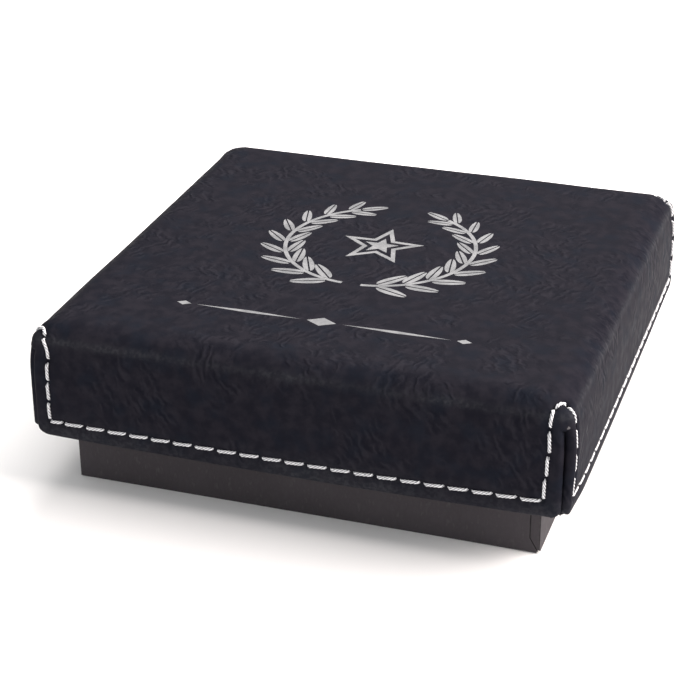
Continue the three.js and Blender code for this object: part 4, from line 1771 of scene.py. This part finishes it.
@dataclass
class VelvetPad:
    """Velvet drawn over the insert's foam, down its sides and down the recess's wall."""

    half: float
    low: float
    high: float
    recess_floor: float
    velvet: bpy.types.Material
    thickness: float = 0.5 * MM
    edge_radius: float = 1.5 * MM
    least_radius: float = 0.05 * MM
    lip_radius: float = 1.1 * MM
    recess_radius: float = 35.3 * MM
    notch_radius: float = 8.5 * MM
    notch_reach: float = 37.5 * MM
    notch_ease: float = 0.055
    puff: float = 0.22 * MM
    puff_power: float = 0.7
    ripple: float = 0.06 * MM
    ripple_size: float = 5 * MM
    columns: int = 480
    arc_steps: int = 6
    face_steps: int = 9
    wall_steps: int = 6

    @property
    def cloth_floor(self) -> float:
        """Height of the recess floor's underside, where the velvet's wall ends."""
        return self.recess_floor - self.thickness

    def recess_edge(self, angle: float) -> float:
        """Return the recess's radius at an angle, finger notches included.

        Args:
            angle: Angle round the middle.

        Returns:
            The radius.
        """
        off = abs((angle + EIGHTH_TURN + QUARTER_TURN) % math.pi - QUARTER_TURN)
        widest = math.asin(self.notch_radius / self.notch_reach)
        inside = min(off, widest)
        root = math.sqrt(max(0.0, self.notch_radius**2 - (self.notch_reach * math.sin(inside)) ** 2))
        notch = self.notch_reach * math.cos(inside) + root
        eased = 1 - smooth_share(off, widest - self.notch_ease / 3, widest + self.notch_ease)
        return max(self.recess_radius, self.recess_radius + (notch - self.recess_radius) * eased)

    def outer_edge(self, angle: float, inset: float) -> float:
        """Return the distance of the insert's rounded square outline at an angle.

        Args:
            angle: Angle round the middle.
            inset: Depth inside the outline.

        Returns:
            The distance.
        """
        half = self.half - inset
        radius = max(self.least_radius, self.edge_radius - inset)
        turned = abs((angle + EIGHTH_TURN) % QUARTER_TURN - EIGHTH_TURN)
        straight = half / math.cos(turned)
        if straight * math.sin(turned) <= half - radius:
            return straight
        centre = (half - radius) * DIAGONAL
        off = EIGHTH_TURN - turned
        return centre * math.cos(off) + math.sqrt(max(0.0, radius**2 - (centre * math.sin(off)) ** 2))

    def profile(self, angle: float, skin: float) -> list[Vector]:
        """Return the velvet's section, from the foot of its side to the foot of the recess's wall.

        Args:
            angle: Angle round the middle.
            skin: Depth under the outside: 0, or the velvet's thickness.

        Returns:
            The section's points.
        """
        outer = self.edge_radius
        lip = self.lip_radius
        edge = self.recess_edge(angle)
        top = self.high
        foot = self.outer_edge(angle, skin)
        spots = [(foot, height) for height in steps(self.low, top - outer, self.wall_steps)]
        for turn in steps(0.0, QUARTER_TURN, self.arc_steps):
            inset = outer - (outer - skin) * math.cos(turn)
            spots.append((self.outer_edge(angle, inset), top - outer + (outer - skin) * math.sin(turn)))
        start = self.outer_edge(angle, outer)
        for share in steps(0.0, 1.0, self.face_steps):
            dome = self.puff * math.sin(math.pi * share) ** self.puff_power if share else 0.0
            spots.append((between(start, edge + lip, share), top - skin - self.puff + dome))
        for turn in steps(0.0, QUARTER_TURN, self.arc_steps):
            height = top - self.puff * (1 - turn / QUARTER_TURN) - lip + (lip - skin) * math.cos(turn)
            spots.append((edge + lip - (lip - skin) * math.sin(turn), height))
        heights = steps(top - lip, self.cloth_floor, self.wall_steps) + [self.cloth_floor]
        spots += [(edge + skin, height) for height in heights]
        return [Vector((reach * math.cos(angle), reach * math.sin(angle), height)) for reach, height in spots]

    def build(self) -> None:
        """Build the velvet."""
        sections: list[list[Vector]] = []
        for column in range(self.columns):
            angle = TURN * column / self.columns
            outside = self.profile(angle, 0.0)
            for point in outside:
                direction = Vector((point.x, point.y, 0.0)).normalized()
                drift = -abs(noise.noise(point / self.ripple_size))
                point += Vector((0.0, 0.0, drift)) * self.ripple + direction * drift * self.ripple
            sections.append(outside + self.profile(angle, self.thickness)[::-1])
        rows = len(sections[0])
        mesh = closed_grid(self.columns, rows, lambda column, row: sections[column][row], ring=True)
        point_outward(mesh)
        pad = finished(mesh, "insert_velvet_pad", self.velvet)
        install(pad, Body.INSERT, Slot.VELVET, "insert_velvet_face")


@dataclass
class VelvetFloor:
    """The velvet on the recess's floor, slit for the ribbon."""

    pad: VelvetPad
    gap: float = 0.08 * MM
    slot_half: float = 20.0 * MM
    slot_low: float = 21.5 * MM
    slot_high: float = 26.5 * MM
    edge: float = 0.14 * MM

    def cut_slot(self, mesh: BMesh) -> None:
        """Cut the ribbon's slot out of the cloth.

        Args:
            mesh: The cloth's mesh.
        """
        cuts = [((1, 0, 0), (across, 0, 0)) for across in (-self.slot_half, self.slot_half)]
        cuts += [((0, 1, 0), (0, deep, 0)) for deep in (self.slot_low, self.slot_high)]
        for normal, place in cuts:
            everything = list(mesh.verts) + list(mesh.edges) + list(mesh.faces)
            bmesh.ops.bisect_plane(mesh, geom=everything, plane_co=place, plane_no=normal)
        slot = [face for face in mesh.faces if self.in_slot(face.calc_center_median())]
        bmesh.ops.delete(mesh, geom=slot, context="FACES")

    def in_slot(self, point: Vector) -> bool:
        """Say whether a point lies in the ribbon's slot."""
        return abs(point.x) < self.slot_half and self.slot_low < point.y < self.slot_high

    def build(self) -> None:
        """Build the floor."""
        pad = self.pad
        mesh = bmesh.new()
        made = bmesh.ops.create_circle(mesh, cap_ends=True, segments=pad.columns // 2, radius=1.0)["verts"]
        for vert in made:
            angle = math.atan2(vert.co.y, vert.co.x)
            reach = pad.recess_edge(angle) - self.gap
            vert.co = Vector((math.cos(angle) * reach, math.sin(angle) * reach, pad.cloth_floor))
        self.cut_slot(mesh)
        drawn_out(mesh, mesh.faces, Vector((0.0, 0.0, pad.thickness)))
        point_outward(mesh)
        soften(mesh, self.edge, 2)
        disc = finished(mesh, "insert_velvet_floor_cloth", pad.velvet)
        install(disc, Body.INSERT, Slot.VELVET, "insert_velvet_floor")


@dataclass
class SoftCore:
    """A foam or wadding piece, its cut edges softened."""

    node: str
    name: str
    body: Body
    slot: Slot
    material: bpy.types.Material
    edge: float = 0.18 * MM

    def build(self) -> None:
        """Build the piece from its CAD node's form."""
        mesh = merged_copy(self.node)
        soften(mesh, self.edge, 1)
        bmesh.ops.triangulate(mesh, faces=[face for face in mesh.faces if len(face.verts) > 4])
        point_outward(mesh)
        piece = finished(mesh, self.name, self.material, smooth=False)
        install(piece, self.body, self.slot, self.node)


# CAD nodes that keep their own form


@dataclass
class KeptNodes:
    """CAD nodes that stay, with their cut edges eased and a finish of their own."""

    prefixes: Sequence[str]
    finish: PlainSheet
    edge: float = 0.10 * MM

    def dress(self) -> None:
        """Give each node its finish and ease its edges."""
        material = self.finish.material()
        for name, node in sorted(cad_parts.items()):
            if node.hide_render or not name.startswith(tuple(self.prefixes)):
                continue
            node.material_slots[0].material = material
            weld = node.modifiers.new("weld", "WELD")
            weld.merge_threshold = MERGE_DISTANCE
            bevel = node.modifiers.new("eased_edges", "BEVEL")
            bevel.width = self.edge
            bevel.segments = 2
            bevel.limit_method = "ANGLE"
            bevel.angle_limit = EIGHTH_TURN
            log.info("%s keeps its CAD form", name)


# Studio


@dataclass(frozen=True)
class SoftLight:
    """A square soft light: its name, place, side, power and colour."""

    name: str
    place: Colour
    size: float
    watts: float
    tone: Colour = (1.0, 1.0, 1.0)

    def hang(self) -> None:
        """Add the light, turned to the box."""
        data = bpy.data.lights.new(self.name, "AREA")
        data.size = self.size
        data.energy = self.watts
        data.color = self.tone
        light = bpy.data.objects.new(self.name, data)
        light.location = self.place
        light.rotation_euler = (-Vector(self.place)).to_track_quat("-Z", "Y").to_euler()
        bpy.context.scene.collection.objects.link(light)


@dataclass
class Studio:
    """Pale floor, soft lights and the camera at the photograph's place."""

    lens: float = 98.85
    sensor: float = 36.0
    sight: tuple[float, float] = (0.01, 20.0)
    place: Colour = (0.09618, -0.30622, 0.17353)
    right: Colour = (0.95004834, 0.31208426, -0.00340212)
    upward: Colour = (-0.13781479, 0.42926693, 0.89260125)
    floor_size: float = 6.0
    surroundings: float = 0.68
    lights: tuple[SoftLight, ...] = (
        SoftLight("window_right", (0.90, 0.20, 0.75), 0.9, 33.5, (1.0, 0.925, 0.885)),
        SoftLight("softbox_back", (0.0, 0.45, 0.55), 0.5, 5.8, (1.0, 0.95, 0.92)),
        SoftLight("fill_front", (-0.5, -1.1, 0.45), 0.9, 2.5),
    )

    def add_camera(self) -> None:
        """Add the camera."""
        data = bpy.data.cameras.new("camera")
        data.lens = self.lens
        data.sensor_width = self.sensor
        data.clip_start, data.clip_end = self.sight
        camera = bpy.data.objects.new("camera", data)
        bpy.context.scene.collection.objects.link(camera)
        right, upward = Vector(self.right), Vector(self.upward)
        turned = Matrix((right, upward, right.cross(upward))).transposed().to_4x4()
        camera.matrix_world = Matrix.Translation(self.place) @ turned
        bpy.context.scene.camera = camera

    def add_floor(self) -> None:
        """Add the floor under the box."""
        mesh = bmesh.new()
        bmesh.ops.create_grid(mesh, x_segments=8, y_segments=8, size=self.floor_size / 2)
        finished(mesh, "studio_floor", PaleFloor().material())

    def add_surroundings(self) -> None:
        """Add the even white light from all round."""
        world = bpy.data.worlds.new("studio")
        world.use_nodes = True
        background = world.node_tree.nodes["Background"]
        background.inputs["Color"].default_value = (1.0, 1.0, 1.0, 1.0)
        background.inputs["Strength"].default_value = self.surroundings
        bpy.context.scene.world = world

    def build(self) -> None:
        """Set up the whole studio."""
        bpy.context.scene.view_settings.view_transform = "Standard"
        self.add_camera()
        self.add_floor()
        self.add_surroundings()
        for light in self.lights:
            light.hang()


# The whole box


def build_lid() -> None:
    """Build and dress the lid."""
    low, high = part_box("lid_cover")
    form = CoverForm(half=high.x, rim=low.z, top=high.z)
    seam = Seam(form)
    LidCover(form, seam).build()
    seam.build()
    SilverDesign(face=high.z).build()
    SoftCore("lid_wadding", "lid_wadding_batt", Body.LID, Slot.WADDING, WADDING.material()).build()


def build_base() -> None:
    """Build and dress the base."""
    _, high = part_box("base_wrap")
    BaseWrap(half=high.x, height=high.z).build()


def build_insert() -> None:
    """Build and dress the insert."""
    low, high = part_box("insert_velvet_face")
    _, floor_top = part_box("insert_velvet_floor")
    pad = VelvetPad(high.x, low.z, high.z, floor_top.z, FlockedVelvet().material())
    pad.build()
    VelvetFloor(pad).build()
    foam = OpenFoam().material()
    for node in ("insert_foam_frame", "insert_foam_floor"):
        SoftCore(node, node + "_cut", Body.INSERT, Slot.FOAM, foam).build()


def dress_kept_nodes() -> None:
    """Dress the boards, stays and linings, which keep their CAD form."""
    KeptNodes(["base_board", "lid_board", "riser", "insert_card"], GREY_BOARD).dress()
    KeptNodes(["base_stay", "lid_stay"], STAY_PAPER, edge=0.04 * MM).dress()
    KeptNodes(["base_lining", "lid_lining"], LINING_PAPER, edge=0.06 * MM).dress()


def main() -> None:
    """Build the studio and the box."""
    logging.basicConfig(level=logging.INFO, format="%(message)s")
    Studio().build()
    build_lid()
    build_base()
    build_insert()
    dress_kept_nodes()


if __name__ == "__main__":
    main()
